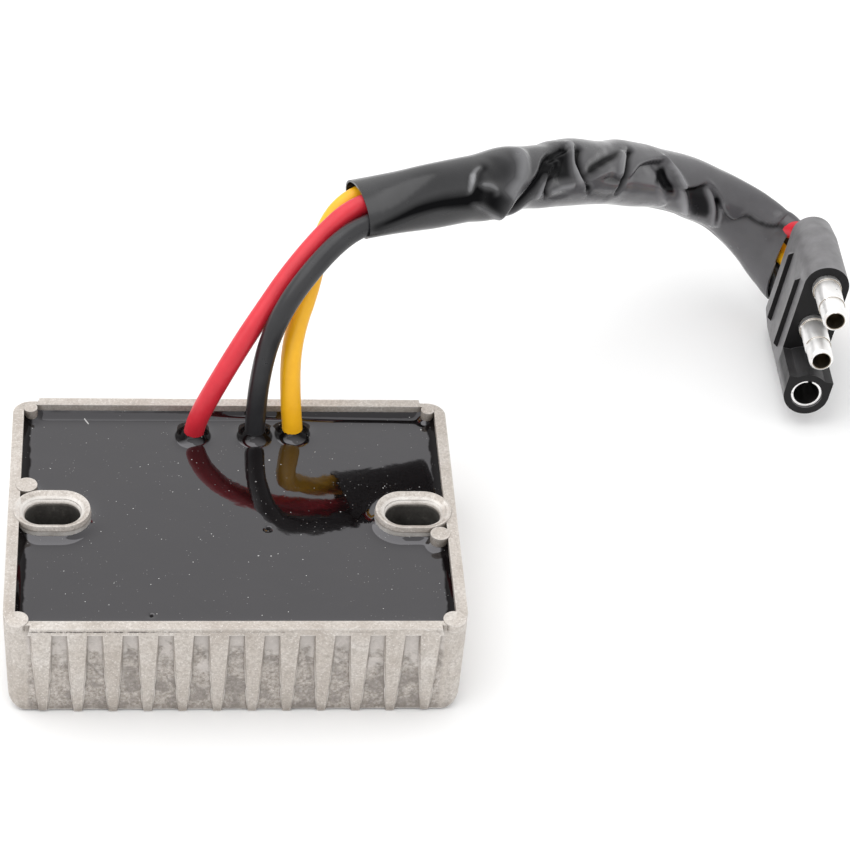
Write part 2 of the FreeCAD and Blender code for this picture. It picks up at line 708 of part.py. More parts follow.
def turned(label, way, profile):
    """A turned terminal in one way of the connector: a profile of (radius, height) spun about Z."""
    body = doc.addObject("PartDesign::Body", "Terminal")
    body.Label = label
    sketch = sketch_on(body, "XZ_Plane")
    outline(sketch, profile)
    spin = body.newObject("PartDesign::Revolution", "Revolution")
    spin.Profile = sketch
    spin.ReferenceAxis = (sketch, ["V_Axis"])
    spin.Angle = 360
    offset = f"placement(vector({way} * [WayPitch]; 0; 0); rotation(0; 0; 0))"
    bind(body, Placement=f"{CONNECTOR_PLACE} * {offset}")
    return body


CRIMP = [("0", "0 - [CrimpLength]"), ("[CrimpDiameter] / 2", "0 - [CrimpLength]")]


def bullet_pin(label, way):
    hole_foot = "([PinLength] - [PinHoleDepth])"
    return turned(label, way, CRIMP + [
        ("[CrimpDiameter] / 2", "0"), ("[PinCollar] / 2", "0"), ("[PinCollar] / 2", "[PinCollarLength]"),
        ("[PinBarrel] / 2", "[PinCollarLength]"), ("[PinBarrel] / 2", "[PinBarrelLength]"),
        ("[PinNose] / 2", "[PinBarrelLength]"), ("[PinNose] / 2", "[PinLength] - [PinNoseBevel]"),
        ("[PinNose] / 2 - [PinNoseBevel]", "[PinLength]"), ("[PinHole] / 2", "[PinLength]"),
        ("[PinHole] / 2", hole_foot), ("0", hole_foot)])


SOCKET_FRONT = "([ShroudLength] - [SocketInset])"
BORE_FOOT = f"({SOCKET_FRONT} - [SocketBoreDepth])"
SOCKET_NECK = f"({BORE_FOOT} - [SocketNeck])"


def socket_tube(label, way):
    return turned(label, way, CRIMP + [
        ("[CrimpDiameter] / 2", SOCKET_NECK), ("[SocketDiameter] / 2", SOCKET_NECK),
        ("[SocketDiameter] / 2", SOCKET_FRONT), ("[SocketBore] / 2", SOCKET_FRONT),
        ("[SocketBore] / 2", BORE_FOOT), ("0", BORE_FOOT)])


def socket_way(label, way):
    """The room that the socket has in the moulding, open at the shroud's mouth."""
    return turned(label, way, CRIMP + [
        ("[CrimpDiameter] / 2", SOCKET_NECK), ("[SocketDiameter] / 2", SOCKET_NECK),
        ("[SocketDiameter] / 2", "[ShroudLength]"), ("0", "[ShroudLength]")])


def socket_slit():
    """The slot that lets the socket spring open, on the side towards the pins."""
    slit = doc.addObject("Part::Box", "Slit")
    bind(slit, Length="[SocketDiameter]", Width="[SocketSlit]", Height="[SocketSlitLength]")
    corner = ("placement(vector([WayPitch] - [SocketDiameter]; 0 - [SocketSlit] / 2;"
              f" {SOCKET_FRONT} - [SocketSlitLength]); rotation(0; 0; 0))")
    bind(slit, Placement=f"{CONNECTOR_PLACE} * {corner}")
    return slit


# Build

case = housing()

board_blank = block(BOARD_WIDTH, BOARD_DEPTH, "[BoardThickness]", "0", "0", BOARD_FOOT)
devices = [device("rectifier_diode", "(0 - [DeviceSpacing])", (-1, 1)),
           device("series_thyristor", "0", (-1, 0, 1)),
           device("shunt_thyristor", "[DeviceSpacing]", (-1, 0, 1))]
thermal_pads = group([block("[PadWidth]", "[PadLength]", "[PadThickness]", f"{side} * [DeviceSpacing]",
                            "0 - [DeviceSetback] - [TabLength] / 2", FLOOR_TOP)
                      for side in (-1, 0, 1)], "thermal_pads")
left_column = f"(0 - {COLUMN_X})"
small_parts = [capacitor(left_column),
               axial("zener_diode", "[ZenerDiameter]", "[ZenerLength]", COLUMN_X, "[ZenerY]"),
               row("signal_diodes", 2, "[DiodeDiameter]", "[DiodeLength]", COLUMN_X, "[DiodeY]",
                   "(0 - [DiodePitch])"),
               row("gate_resistors", 2, "[ResistorDiameter]", "[ResistorLength]", "0", "[GateResistorY]",
                   "(0 - [ResistorPitch])"),
               row("divider_resistors", 3, "[ResistorDiameter]", "[ResistorLength]", left_column,
                   "[DividerY]", "(0 - [ResistorPitch])"),
               transistor()]

wires = [wire("red_wire", RED_ROUTE), wire("black_wire", BLACK_ROUTE), wire("yellow_wire", YELLOW_ROUTE)]
bare_ends = conductors()
lead_sleeve = sleeve()

moulding = connector_block()
upper_blank = bullet_pin("upper_pin_blank", -1)
lower_blank = bullet_pin("lower_pin_blank", 0)
socket_blank = socket_tube("socket_blank", 1)
slit_socket = cut(socket_blank, socket_slit(), "socket_slit_open")
contents = fuse([upper_blank, lower_blank, socket_way("socket_room", 1), bare_ends] + wires,
                "connector_contents")
connector_body = cut(moulding, contents, "connector_body")
terminals = [cut(upper_blank, bare_ends, "upper_bullet_pin"),
             cut(lower_blank, bare_ends, "lower_bullet_pin"),
             cut(slit_socket, bare_ends, "socket_terminal")]

circuit_board = cut(board_blank, fuse(devices + small_parts + [bare_ends], "board_holes"), "circuit_board")
potting_blank = block(f"{CAVITY_WIDTH} + 2 * [PottingTuck]", f"{CAVITY_DEPTH} + 2 * [PottingTuck]",
                      f"{POTTING_TOP} - {FLOOR_TOP}", "0", "0", FLOOR_TOP)
slot_columns = [block("[SlotLength] + [BossWall]", "[SlotWidth] + [BossWall]", "[HousingHeight]",
                      f"{side} * {SLOT_X}", SLOT_Y, "0") for side in (-1, 1)]
embedded = devices + [thermal_pads] + small_parts + wires + [bare_ends, board_blank]
potting_compound = cut(cut(potting_blank, fuse(slot_columns + [case], "potting_edge"), "potting_fill"),
                       fuse(embedded, "potting_voids"), "potting_compound")

doc.recompute()

SUB_PARTS = ([case, potting_compound, circuit_board, thermal_pads, bare_ends, lead_sleeve, connector_body]
             + devices + small_parts + wires + terminals)

for thing in doc.Objects:
    if "Invalid" in thing.State or "Error" in thing.State:
        raise RuntimeError(f"{thing.Name} {thing.Label} failed: {thing.State}")
os.makedirs("parts", exist_ok=True)
for thing in SUB_PARTS:
    if thing.Shape.isNull() or not thing.Shape.isValid():
        raise RuntimeError(f"{thing.Label} has no valid shape")
for thing in SUB_PARTS:
    thing.Shape.exportStep(f"parts/{thing.Label}.step")
    print(f"{thing.Label}: {len(thing.Shape.Solids)} solid, volume {thing.Shape.Volume:.1f}")
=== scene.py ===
import math
from contextlib import contextmanager

import bmesh
import bpy
from mathutils import Matrix, Vector


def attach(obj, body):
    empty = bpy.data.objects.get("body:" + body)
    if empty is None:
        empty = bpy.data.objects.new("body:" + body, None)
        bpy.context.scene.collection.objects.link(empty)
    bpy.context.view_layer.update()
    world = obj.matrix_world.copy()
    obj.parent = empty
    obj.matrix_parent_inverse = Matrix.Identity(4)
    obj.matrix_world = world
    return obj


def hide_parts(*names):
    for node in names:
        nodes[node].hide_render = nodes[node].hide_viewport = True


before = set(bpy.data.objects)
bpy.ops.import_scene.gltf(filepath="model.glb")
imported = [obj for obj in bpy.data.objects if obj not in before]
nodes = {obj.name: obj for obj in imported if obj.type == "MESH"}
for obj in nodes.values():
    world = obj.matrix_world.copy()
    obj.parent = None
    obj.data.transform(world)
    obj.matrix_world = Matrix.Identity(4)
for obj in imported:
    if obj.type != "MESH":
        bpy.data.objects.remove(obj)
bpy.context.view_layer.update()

MM = 0.001


def metres(points):
    return [tuple(c * MM for c in point) for point in points]


def link(obj):
    bpy.context.scene.collection.objects.link(obj)
    return obj


@contextmanager
def editing(mesh):
    """A bmesh to edit, which goes back into the mesh at the end."""
    work = bmesh.new()
    work.from_mesh(mesh)
    yield work
    work.to_mesh(mesh)
    work.free()


def shade_smooth(mesh, sharp_degrees):
    for face in mesh.polygons:
        face.use_smooth = True
    mesh.set_sharp_from_angle(angle=math.radians(sharp_degrees))


# Camera: where the photograph was taken from, fitted to the housing's corners and slots
CAMERA_AT = (-18.01, -425.52, 390.57)
CAMERA_AZIMUTH = 6.853
CAMERA_ELEVATION = 39.279
CAMERA_ROLL = 4.637
LENS = 133.4


def make_camera():
    azimuth, elevation, roll = (math.radians(a) for a in (CAMERA_AZIMUTH, CAMERA_ELEVATION, CAMERA_ROLL))
    forward = Vector((math.sin(azimuth) * math.cos(elevation), math.cos(azimuth) * math.cos(elevation),
                      -math.sin(elevation)))
    level = Vector((math.cos(azimuth), -math.sin(azimuth), 0))
    above = level.cross(forward)
    right = level * math.cos(roll) + above * math.sin(roll)
    up = above * math.cos(roll) - level * math.sin(roll)
    data = bpy.data.cameras.new("camera")
    data.lens = LENS
    data.sensor_width = 36
    data.clip_start = 0.01
    camera = bpy.data.objects.new("camera", data)
    turn = Matrix((right, up, -forward)).transposed()
    camera.matrix_world = Matrix.Translation(Vector(metres([CAMERA_AT])[0])) @ turn.to_4x4()
    bpy.context.scene.camera = link(camera)


make_camera()


# Material nodes

def fill_ramp(ramp, stops):
    while len(ramp) < len(stops):
        ramp.new(0.5)
    for element, (at, colour) in zip(ramp, stops):
        element.position = at
        element.color = (*colour, 1)


class Look:
    """A node material: each method adds a node and gives back the socket that it feeds on with."""

    def __init__(self, name, **constants):
        self.material = bpy.data.materials.new(name)
        self.material.use_nodes = True
        self.tree = self.material.node_tree
        self.shader = self.tree.nodes["Principled BSDF"]
        for key, amount in constants.items():
            self.shader.inputs[key.replace("_", " ")].default_value = amount
        self.place = self.node("ShaderNodeTexCoord").outputs["Object"]

    def node(self, kind, sockets=None, **settings):
        made = self.tree.nodes.new(kind)
        for key, value in settings.items():
            setattr(made, key, value)
        for key, value in (sockets or {}).items():
            if isinstance(value, bpy.types.NodeSocket):
                self.tree.links.new(value, made.inputs[key])
            else:
                made.inputs[key].default_value = value
        return made

    def noise(self, size_mm, detail=3.0, roughness=0.55, distortion=0.0):
        """Noise whose blotches are about size_mm across."""
        return self.node("ShaderNodeTexNoise", {
            "Vector": self.place, "Scale": 1 / (size_mm * MM), "Detail": detail, "Roughness": roughness,
            "Distortion": distortion}).outputs["Fac"]

    def cells(self, size_mm):
        """How far off the nearest of scattered points lies, which are about size_mm apart."""
        sockets = {"Vector": self.place, "Scale": 1 / (size_mm * MM)}
        return self.node("ShaderNodeTexVoronoi", sockets).outputs["Distance"]

    def ramp(self, factor, stops):
        made = self.node("ShaderNodeValToRGB", {"Fac": factor})
        fill_ramp(made.color_ramp.elements, stops)
        return made.outputs["Color"]

    def tones(self, size_mm, detail, dark, light):
        """A colour that drifts between two of them."""
        return self.ramp(self.noise(size_mm, detail), [(0.3, dark), (0.7, light)])

    def between(self, value, low, high, out_low=0.0, out_high=1.0):
        return self.node("ShaderNodeMapRange", {"Value": value, "From Min": low, "From Max": high,
                                                "To Min": out_low, "To Max": out_high}).outputs["Result"]

    def uneven(self, size_mm, detail, low, high):
        """A value that drifts between two of them."""
        return self.between(self.noise(size_mm, detail), 0.3, 0.7, low, high)

    def openness(self, reach_mm, **settings):
        """How open the surface lies, or with inside=True how thick it is."""
        return self.node("ShaderNodeAmbientOcclusion", {"Distance": reach_mm * MM}, samples=6,
                         **settings).outputs["AO"]

    def math(self, operation, first, second=0.0, third=0.0):
        made = self.node("ShaderNodeMath", operation=operation)
        for socket, value in zip(made.inputs, (first, second, third)):
            if isinstance(value, bpy.types.NodeSocket):
                self.tree.links.new(value, socket)
            else:
                socket.default_value = value
        return made.outputs[0]

    def product(self, first, *others):
        for other in others:
            first = self.math("MULTIPLY", first, other)
        return first

    def distance(self, across, off):
        squares = [self.product(offset, offset) for offset in (across, off)]
        return self.math("SQRT", self.math("ADD", *squares))

    def mix(self, factor, first, second):
        made = self.node("ShaderNodeMix", data_type="RGBA")
        for key, value in ((0, factor), (6, first), (7, second)):
            if isinstance(value, bpy.types.NodeSocket):
                self.tree.links.new(value, made.inputs[key])
            else:
                made.inputs[key].default_value = value if key == 0 else (*value, 1)
        return made.outputs[2]

    def bump(self, height, depth_mm, strength=1.0, normal=None):
        sockets = {"Height": height, "Distance": depth_mm * MM, "Strength": strength}
        if normal:
            sockets["Normal"] = normal
        return self.node("ShaderNodeBump", sockets).outputs["Normal"]

    def axes(self):
        return tuple(self.node("ShaderNodeSeparateXYZ", {"Vector": self.place}).outputs)

    def facing(self):
        """The surface's own direction, as X, Y and Z."""
        way = self.node("ShaderNodeNewGeometry").outputs["True Normal"]
        return tuple(self.node("ShaderNodeSeparateXYZ", {"Vector": way}).outputs)

    def feed(self, **links):
        for key, socket in links.items():
            self.tree.links.new(socket, self.shader.inputs[key.replace("_", " ")])
        return self.material


# Sizes that the pieces share, in millimetres, as in the CAD model
CONNECTOR_AT = (115.83, 60.43, 15.9)
WIRE_R = 1.9
SLEEVE_R = 5.75
SLEEVE_WALL = 0.5
POTTING_TOP = 18.0
POTTING_FOOT = 3.9
RIM_TOP = 20.35
BAND_FOOT = 18.75
WALL_Y = 30.25
RIBS = 12
RIB_PITCH = 6.07
RIB_REACH = 36.2
RIB_TAPER = {"face": (0.90, 1.20), "root": (0.64, 0.97)}
CONTACT_AXIS = (-0.040882, -0.994438, 0.09707)
CONTACT_ROW = (-0.16624, -0.08903, -0.98206)
SHROUD_REACH = 9.6
WIRE_FEET = [(-6.95, 23.05), (4.42, 23.15), (11.42, 23.85)]
SLOT_X = 32.15
SLOT_Y = -0.5
SLOT_HALF = 1.7
SLOT_R = 3.55
LIP_SHIFT = (0.12, 0.25)
LIP_HALF = 1.8
LIP_PROFILE = [(5.0, 17.9, 0.0), (5.14, 19.85, 0.6), (5.0, 20.6, 1.0), (4.66, 20.6, 1.0), (3.5, 19.85, 1.0),
               (3.5, 19.2, 1.0)]
LIP_POINTS = 64


# The fibre that lies on the potting: its middle, how it is turned, and its half length and half width
FIBRE_AT = (-26.55, 27.2, 0)
FIBRE_TURN = -59
FIBRE_HALF = (0.8, 0.11)


# Materials

def cast_metal():
    """Die-cast aluminium: smooth on ribs and rims, coarse and blotched between the ribs with painted shade there,
    painted shade in corners.
    """
    look = Look("cast_aluminium", Metallic=0.35, IOR=1.5)
    x, y, z = look.axes()
    broad = look.noise(7.0, 4.0, 0.6)
    grain = look.noise(0.55, 5.0, 0.7)
    speck = look.noise(0.28, 3.0, 0.6)
    body = look.ramp(broad, [(0.3, (0.46, 0.41, 0.365)), (0.55, (0.58, 0.535, 0.49)),
                             (0.75, (0.66, 0.625, 0.59))])
    body = look.mix(look.between(grain, 0.40, 0.66, 0.0, 0.75), body, (0.36, 0.32, 0.285))
    body = look.mix(look.between(speck, 0.56, 0.70, 0.0, 0.8), body, (0.78, 0.75, 0.72))
    smudge = look.between(look.noise(2.6, 5.0, 0.65, 0.8), 0.56, 0.72, 0.0, 0.45)
    body = look.mix(smudge, body, (0.27, 0.235, 0.20))
    # Between the ribs: the wall set back from their faces, under the band, coarse cast grain darkened with
    # painted shade
    depth = look.math("ABSOLUTE", y)
    span = look.between(look.math("ABSOLUTE", x), RIB_REACH * MM, (RIB_REACH - 0.6) * MM)
    low = look.between(z, (BAND_FOOT + 0.15) * MM, (BAND_FOOT - 0.25) * MM)
    back = look.between(depth, (WALL_Y + 0.09) * MM, (WALL_Y + 0.02) * MM)
    front = look.between(depth, (WALL_Y - 0.3) * MM, (WALL_Y - 0.1) * MM)
    gap = look.product(span, low, back, front)
    pits = look.noise(0.5, 6.0, 0.75)
    gap_grain_and_shade = look.ramp(pits, [(0.32, (0.20, 0.175, 0.15)), (0.5, (0.42, 0.38, 0.345)),
                             (0.68, (0.66, 0.62, 0.59))])
    patches = look.noise(4.6, 4.0, 0.65, 0.8)
    gap_grain_and_shade = look.mix(look.between(patches, 0.47, 0.58, 0.0, 0.6), gap_grain_and_shade, (0.20, 0.18, 0.165))
    # The wall's upper end is brighter, down to a ragged border
    height = look.math("ADD", z, look.between(look.noise(2.8, 3.0, 0.6, 0.5), 0.3, 0.7, -6 * MM, 6 * MM))
    bright = look.between(height, 11.5 * MM, 15.0 * MM)
    gap_grain_and_shade = look.mix(look.product(bright, 0.7), gap_grain_and_shade, (0.66, 0.62, 0.59))
    colour = look.mix(gap, body, gap_grain_and_shade)
    # The parting line just under the rim of the long walls: a shallow groove with painted shade along it
    line = look.math("COMPARE", z, (RIM_TOP - 0.75) * MM, 0.16 * MM)
    outside = look.between(depth, (WALL_Y + 0.6) * MM, (WALL_Y + 0.8) * MM)
    broken = look.between(look.noise(0.8, 4.0, 0.8), 0.44, 0.52)
    patchy = look.between(look.noise(14.0, 1.0, 0.5), 0.40, 0.48)
    left_part = look.between(x, -9 * MM, -14 * MM, 0.3, 1.0)
    line = look.product(line, outside, broken, patchy, left_part)
    colour = look.mix(look.product(line, 0.85), colour, (0.06, 0.05, 0.045))
    # Painted shade in the slots and in every corner
    across = look.math("SUBTRACT", look.math("ABSOLUTE", x), SLOT_X * MM)
    across = look.math("MAXIMUM", look.math("SUBTRACT", look.math("ABSOLUTE", across), SLOT_HALF * MM), 0.0)
    off = look.distance(across, look.math("SUBTRACT", y, SLOT_Y * MM))
    slot = look.product(look.between(off, SLOT_R * MM, (SLOT_R - 0.15) * MM),
                        look.between(z, 19.6 * MM, 18.6 * MM))
    slot_shade = look.ramp(look.noise(1.8, 5.0, 0.7), [
        (0.35, (0.035, 0.034, 0.032)), (0.6, (0.075, 0.072, 0.067)), (0.75, (0.20, 0.19, 0.175))])
    colour = look.mix(look.product(slot, 0.93), colour, slot_shade)
    corner_shade = look.between(look.openness(3.5), 0.35, 0.85, 0.75, 0.0)
    colour = look.mix(corner_shade, colour, (0.13, 0.105, 0.085))
    # Edges painted bright, partly as rubbed wear and partly as painted highlight, less so on faces that look up
    thick = look.openness(0.40, inside=True, only_local=True)
    worn_and_highlit_edges = look.product(look.between(thick, 0.85, 0.55), look.between(look.noise(3.0), 0.3, 0.6, 0.25, 0.7),
                          look.between(look.facing()[2], 0.90, 0.98, 1.0, 0.3))
    colour = look.mix(worn_and_highlit_edges, colour, (0.80, 0.775, 0.745))
    relief = look.math("MULTIPLY_ADD", look.math("SUBTRACT", pits, grain), gap, grain)
    normal = look.bump(relief, 0.16, 0.6)
    normal = look.bump(line, -0.25, 0.7, normal)
    normal = look.bump(look.noise(5.0, 2.0), 0.35, 0.35, normal)
    roughness = look.between(look.noise(1.4, 4.0), 0.3, 0.75, 0.38, 0.58)
    return look.feed(Base_Color=colour, Roughness=roughness, Normal=normal)


def resin():
    """Black potting with a wet gloss, specks of dust, and a painted dark reflection where it climbs walls and
    wires.
    """
    look = Look("black_resin", IOR=1.78, Specular_Tint=(0.97, 0.955, 1.0, 1))
    x, y, z = look.axes()
    # Specks of three sizes, each kind in drifts of its own, and one fibre
    dust = look.product(look.between(look.cells(1.5), 0.080, 0.055),
                        look.between(look.noise(2.2, 2.0), 0.50, 0.53))
    fine = look.product(look.between(look.cells(0.7), 0.13, 0.09),
                        look.between(look.noise(3.1), 0.54, 0.58, 0, 0.35))
    large = look.product(look.between(look.cells(4.3), 0.046, 0.038),
                         look.between(look.noise(9.0, 1.0), 0.48, 0.5))
    fibre = look.node("ShaderNodeMapping", {"Vector": look.place, "Location": metres([FIBRE_AT])[0],
                                            "Rotation": (0, 0, math.radians(FIBRE_TURN))}, vector_type="TEXTURE")
    parts = look.node("ShaderNodeSeparateXYZ", {"Vector": fibre.outputs[0]}).outputs
    fibre = look.product(*(look.math("COMPARE", part, 0.0, half * MM) for part, half in zip(parts, FIBRE_HALF)))
    dust = look.math("MAXIMUM", look.math("MAXIMUM", dust, fine), look.math("MAXIMUM", large, fibre))
    tint = look.ramp(look.noise(12.0, 2.0), [(0.35, (0.0036, 0.0028, 0.0030)),
                                             (0.7, (0.0056, 0.0044, 0.0046))])
    colour = look.mix(dust, tint, (0.46, 0.46, 0.45))
    roughness = look.between(dust, 0.0, 1.0, 0.035, 0.6)
    # Where it climbs the end walls and the wires, its reflection is turned down: a painted dark reflection on its
    # slope
    edge = look.math("ADD", look.math("ABSOLUTE", x), look.uneven(3.5, 2.0, -0.3 * MM, 0.3 * MM))
    bands = [look.between(edge, 36.5 * MM, 36.8 * MM), look.between(y, 27.2 * MM, 27.8 * MM, 0.0, 0.55),
             look.between(z, (POTTING_TOP - 0.04) * MM, (POTTING_TOP - 0.12) * MM)]
    for px, py in WIRE_FEET:
        dx, dy = look.math("SUBTRACT", x, px * MM), look.math("SUBTRACT", y, py * MM)
        bands.append(look.product(look.between(look.distance(dx, dy), 3.45 * MM, 3.2 * MM),
                                  look.between(dy, -2.6 * MM, -1.6 * MM)))
    painted_dark_reflection = bands[0]
    for band in bands[1:]:
        painted_dark_reflection = look.math("MAXIMUM", painted_dark_reflection, band)
    level = look.between(look.product(painted_dark_reflection, look.between(dust, 0.0, 1.0, 1.0, 0.0)), 0.0, 1.0, 0.5, 0.04)
    waves = look.noise(6.5, 2.0, 0.5, 0.6)
    normal = look.bump(waves, 0.05, 0.5)
    normal = look.bump(look.noise(1.6, 2.0), 0.006, 0.5, normal)
    normal = look.bump(dust, 0.03, 0.6, normal)
    return look.feed(Base_Color=colour, Roughness=roughness, Normal=normal, Specular_IOR_Level=level)


def vinyl(name, dark, light, rough_low, rough_high, scuff):
    """Smooth wire insulation with a slight unevenness and faint scuffs."""
    look = Look(name, IOR=1.5, Specular_IOR_Level=0.45)
    colour = look.tones(4.0, 3.0, dark, light)
    marks = look.between(look.noise(0.5, 5.0, 0.7, 1.2), 0.66, 0.78, 0.0, 0.5)
    colour = look.mix(marks, colour, scuff)
    normal = look.bump(look.noise(1.3, 3.0), 0.05, 0.25)
    roughness = look.uneven(2.2, 3.0, rough_low, rough_high)
    return look.feed(Base_Color=colour, Roughness=roughness, Normal=normal)


def sleeve_vinyl():
    """Soft black vinyl sleeving: a low sheen, faint rubbing and dust, painted shade in its dents and folds, and
    painted highlights on its ridges.
    """
    look = Look("sleeve_vinyl", IOR=1.5)
    shade_and_highlight = look.node("ShaderNodeAttribute", attribute_name="shade_and_highlight").outputs["Fac"]
    # Painted shade and painted highlight, weighed on the mesh; the painted shade also takes away sheen
    shade = look.between(shade_and_highlight, 0.04, 0.80)
    painted_highlight = look.between(shade_and_highlight, -0.06, -1.3)
    # Painted light: it turns paler towards the connector, and most of all on its lower side
    colour = look.tones(9.0, 4.0, (0.013, 0.013, 0.014), (0.021, 0.021, 0.023))
    painted_light_tone = look.tones(9.0, 4.0, (0.058, 0.056, 0.060), (0.084, 0.082, 0.088))
    right = look.between(look.axes()[0], 44 * MM, 88 * MM)
    colour = look.mix(right, colour, painted_light_tone)
    under = look.product(right, look.between(look.facing()[2], 0.45, -0.15, 0.0, 0.6))
    colour = look.mix(under, colour, (0.125, 0.122, 0.130))
    marks = look.between(look.noise(0.45, 5.0, 0.75, 0.8), 0.7, 0.82, 0.0, 0.3)
    colour = look.mix(marks, colour, (0.14, 0.14, 0.145))
    colour = look.mix(shade, colour, (0.0025, 0.0025, 0.003))
    colour = look.mix(look.product(painted_highlight, 0.85), colour, (0.42, 0.42, 0.435))
    normal = look.bump(look.noise(0.35, 3.0), 0.01, 0.3)
    normal = look.bump(look.noise(3.2, 3.0), 0.10, 0.3, normal)
    roughness = look.uneven(3.5, 4.0, 0.17, 0.28)
    level = look.between(shade, 0.0, 1.0, 0.5, 0.04)
    return look.feed(Base_Color=colour, Roughness=roughness, Normal=normal, Specular_IOR_Level=level)


def moulded(name, dark, light, rough_low, rough_high):
    """Moulded plastic with a fine skin."""
    look = Look(name, IOR=1.5)
    colour = look.tones(3.0, 4.0, dark, light)
    colour = look.mix(look.between(look.noise(0.4, 4.0, 0.7), 0.68, 0.78, 0.0, 0.3), colour,
                      tuple(min(1, c * 3 + 0.05) for c in light))
    normal = look.bump(look.noise(0.3, 4.0, 0.7), 0.02, 0.5)
    roughness = look.uneven(1.6, 3.0, rough_low, rough_high)
    return look.feed(Base_Color=colour, Roughness=roughness, Normal=normal)


def connector_plastic():
    """Fine-grained moulding, grey on its sides, smooth and painted black as shade on its front and beside the
    shroud, with painted shade in its corners.
    """
    look = Look("black_moulding", IOR=1.5)
    colour = look.tones(3.0, 4.0, (0.128, 0.125, 0.129), (0.180, 0.176, 0.182))
    colour = look.mix(look.between(look.noise(0.35, 4.0, 0.7), 0.64, 0.78, 0.0, 0.35), colour, (0.25, 0.25, 0.25))
    # Painted shade: faces that look towards the front, and the part beside the shroud, go black and lose sheen
    ahead = look.between(look.facing()[1], -0.55, -0.85)
    local = look.node("ShaderNodeVectorMath", {0: look.place, 1: metres([CONNECTOR_AT])[0]},
                      operation="SUBTRACT").outputs[0]
    front, across = (look.node("ShaderNodeVectorMath", {0: local, 1: way}, operation="DOT_PRODUCT")
                     .outputs["Value"] for way in (CONTACT_AXIS, CONTACT_ROW))
    shroud_side_shade = look.product(look.between(front, 0.0, 0.3 * MM), 0.9,
                               look.between(across, SHROUD_REACH * MM, (SHROUD_REACH - 1.5) * MM))
    ahead = look.math("MAXIMUM", ahead, shroud_side_shade)
    colour = look.mix(ahead, colour, (0.008, 0.0075, 0.008))
    # Painted shade in corners
    colour = look.mix(look.between(look.openness(1.6), 0.3, 0.75, 0.9, 0.0), colour, (0.006, 0.006, 0.006))
    normal = look.bump(look.noise(0.3, 4.0, 0.7), 0.02, 0.5)
    roughness = look.uneven(1.6, 3.0, 0.38, 0.5)
    level = look.between(ahead, 0.0, 1.0, 0.5, 0.2)
    return look.feed(Base_Color=colour, Roughness=roughness, Normal=normal, Specular_IOR_Level=level)


def plated(name, dark, light, rough_low, rough_high):
    """Bright plating, slightly clouded, with a few dark pricks."""
    look = Look(name, Metallic=1.0)
    colour = look.tones(1.6, 4.0, dark, light)
    normal = look.bump(look.noise(1.8, 1.0, 0.5), 0.015, 0.15)
    pricks = look.between(look.cells(2.2), 0.075, 0.06)
    colour = look.mix(look.product(pricks, 0.7), colour, (0.02, 0.02, 0.02))
    roughness = look.uneven(1.8, 3.0, rough_low, rough_high)
    return look.feed(Base_Color=colour, Roughness=roughness, Normal=normal)


def board_laminate():
    """Green glass-fibre board with its weave."""
    look = Look("board_laminate", IOR=1.5)
    weave = look.node("ShaderNodeTexBrick", {
        "Vector": look.place, "Scale": 900.0, "Color1": (0.05, 0.20, 0.10, 1), "Color2": (0.06, 0.24, 0.12, 1),
        "Mortar": (0.03, 0.15, 0.07, 1)})
    normal = look.bump(weave.outputs["Fac"], 0.02, 0.3)
    return look.feed(Base_Color=weave.outputs["Color"], Roughness=look.uneven(2.0, 3.0, 0.3, 0.5), Normal=normal)


CAST = cast_metal()
RESIN = resin()
RED = vinyl("red_insulation", (0.60, 0.018, 0.034), (0.69, 0.026, 0.044), 0.30, 0.42, (0.72, 0.09, 0.11))
BLACK = vinyl("black_insulation", (0.016, 0.016, 0.018), (0.024, 0.024, 0.026), 0.26, 0.4, (0.09, 0.09, 0.09))
YELLOW = vinyl("yellow_insulation", (0.90, 0.44, 0.006), (0.98, 0.51, 0.010), 0.30, 0.42, (0.95, 0.6, 0.10))
SLEEVE = sleeve_vinyl()
MOULDING = connector_plastic()
TIN = plated("tin_plate", (0.86, 0.85, 0.84), (0.96, 0.95, 0.94), 0.40, 0.50)
# Painted shade inside the terminals' bores: brownish in the bullets, black in the socket
BORE_SHADE = plated("painted_bore_shade", (0.26, 0.22, 0.17), (0.40, 0.35, 0.28), 0.3, 0.45)
SOCKET_SHADE = moulded("painted_socket_shade", (0.006, 0.006, 0.006), (0.012, 0.011, 0.010), 0.4, 0.5)
COPPER = plated("tinned_strands", (0.62, 0.60, 0.56), (0.74, 0.72, 0.68), 0.3, 0.45)
CASE = moulded("device_epoxy", (0.014, 0.014, 0.015), (0.024, 0.024, 0.025), 0.4, 0.55)
GLASS = moulded("diode_body", (0.42, 0.16, 0.06), (0.55, 0.24, 0.09), 0.15, 0.25)
FILM = moulded("resistor_film", (0.62, 0.52, 0.36), (0.74, 0.64, 0.46), 0.25, 0.4)
CAN = moulded("capacitor_film", (0.02, 0.03, 0.08), (0.03, 0.045, 0.11), 0.2, 0.35)
PAD = moulded("silicone_pad", (0.38, 0.40, 0.43), (0.46, 0.48, 0.50), 0.5, 0.65)
LAMINATE = board_laminate()

NODE_LOOKS = {
    "circuit_board": LAMINATE, "thermal_pads": PAD, "conductor_ends": COPPER, "rectifier_diode": CASE,
    "series_thyristor": CASE, "shunt_thyristor": CASE, "filter_capacitor": CAN, "zener_diode": GLASS,
    "signal_diodes": GLASS, "gate_resistors": FILM, "divider_resistors": FILM, "control_transistor": CASE,
}
for name, material in NODE_LOOKS.items():
    nodes[name].data.materials.clear()
    nodes[name].data.materials.append(material)


# Pieces

def piece(name, mesh, material, node):
    """A finished piece in the row frame: shown with its material, in place of a CAD node."""
    obj = link(bpy.data.objects.new(name, mesh))
    mesh.materials.clear()
    mesh.materials.append(material)
    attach(obj, "root")
    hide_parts(node)
    return obj


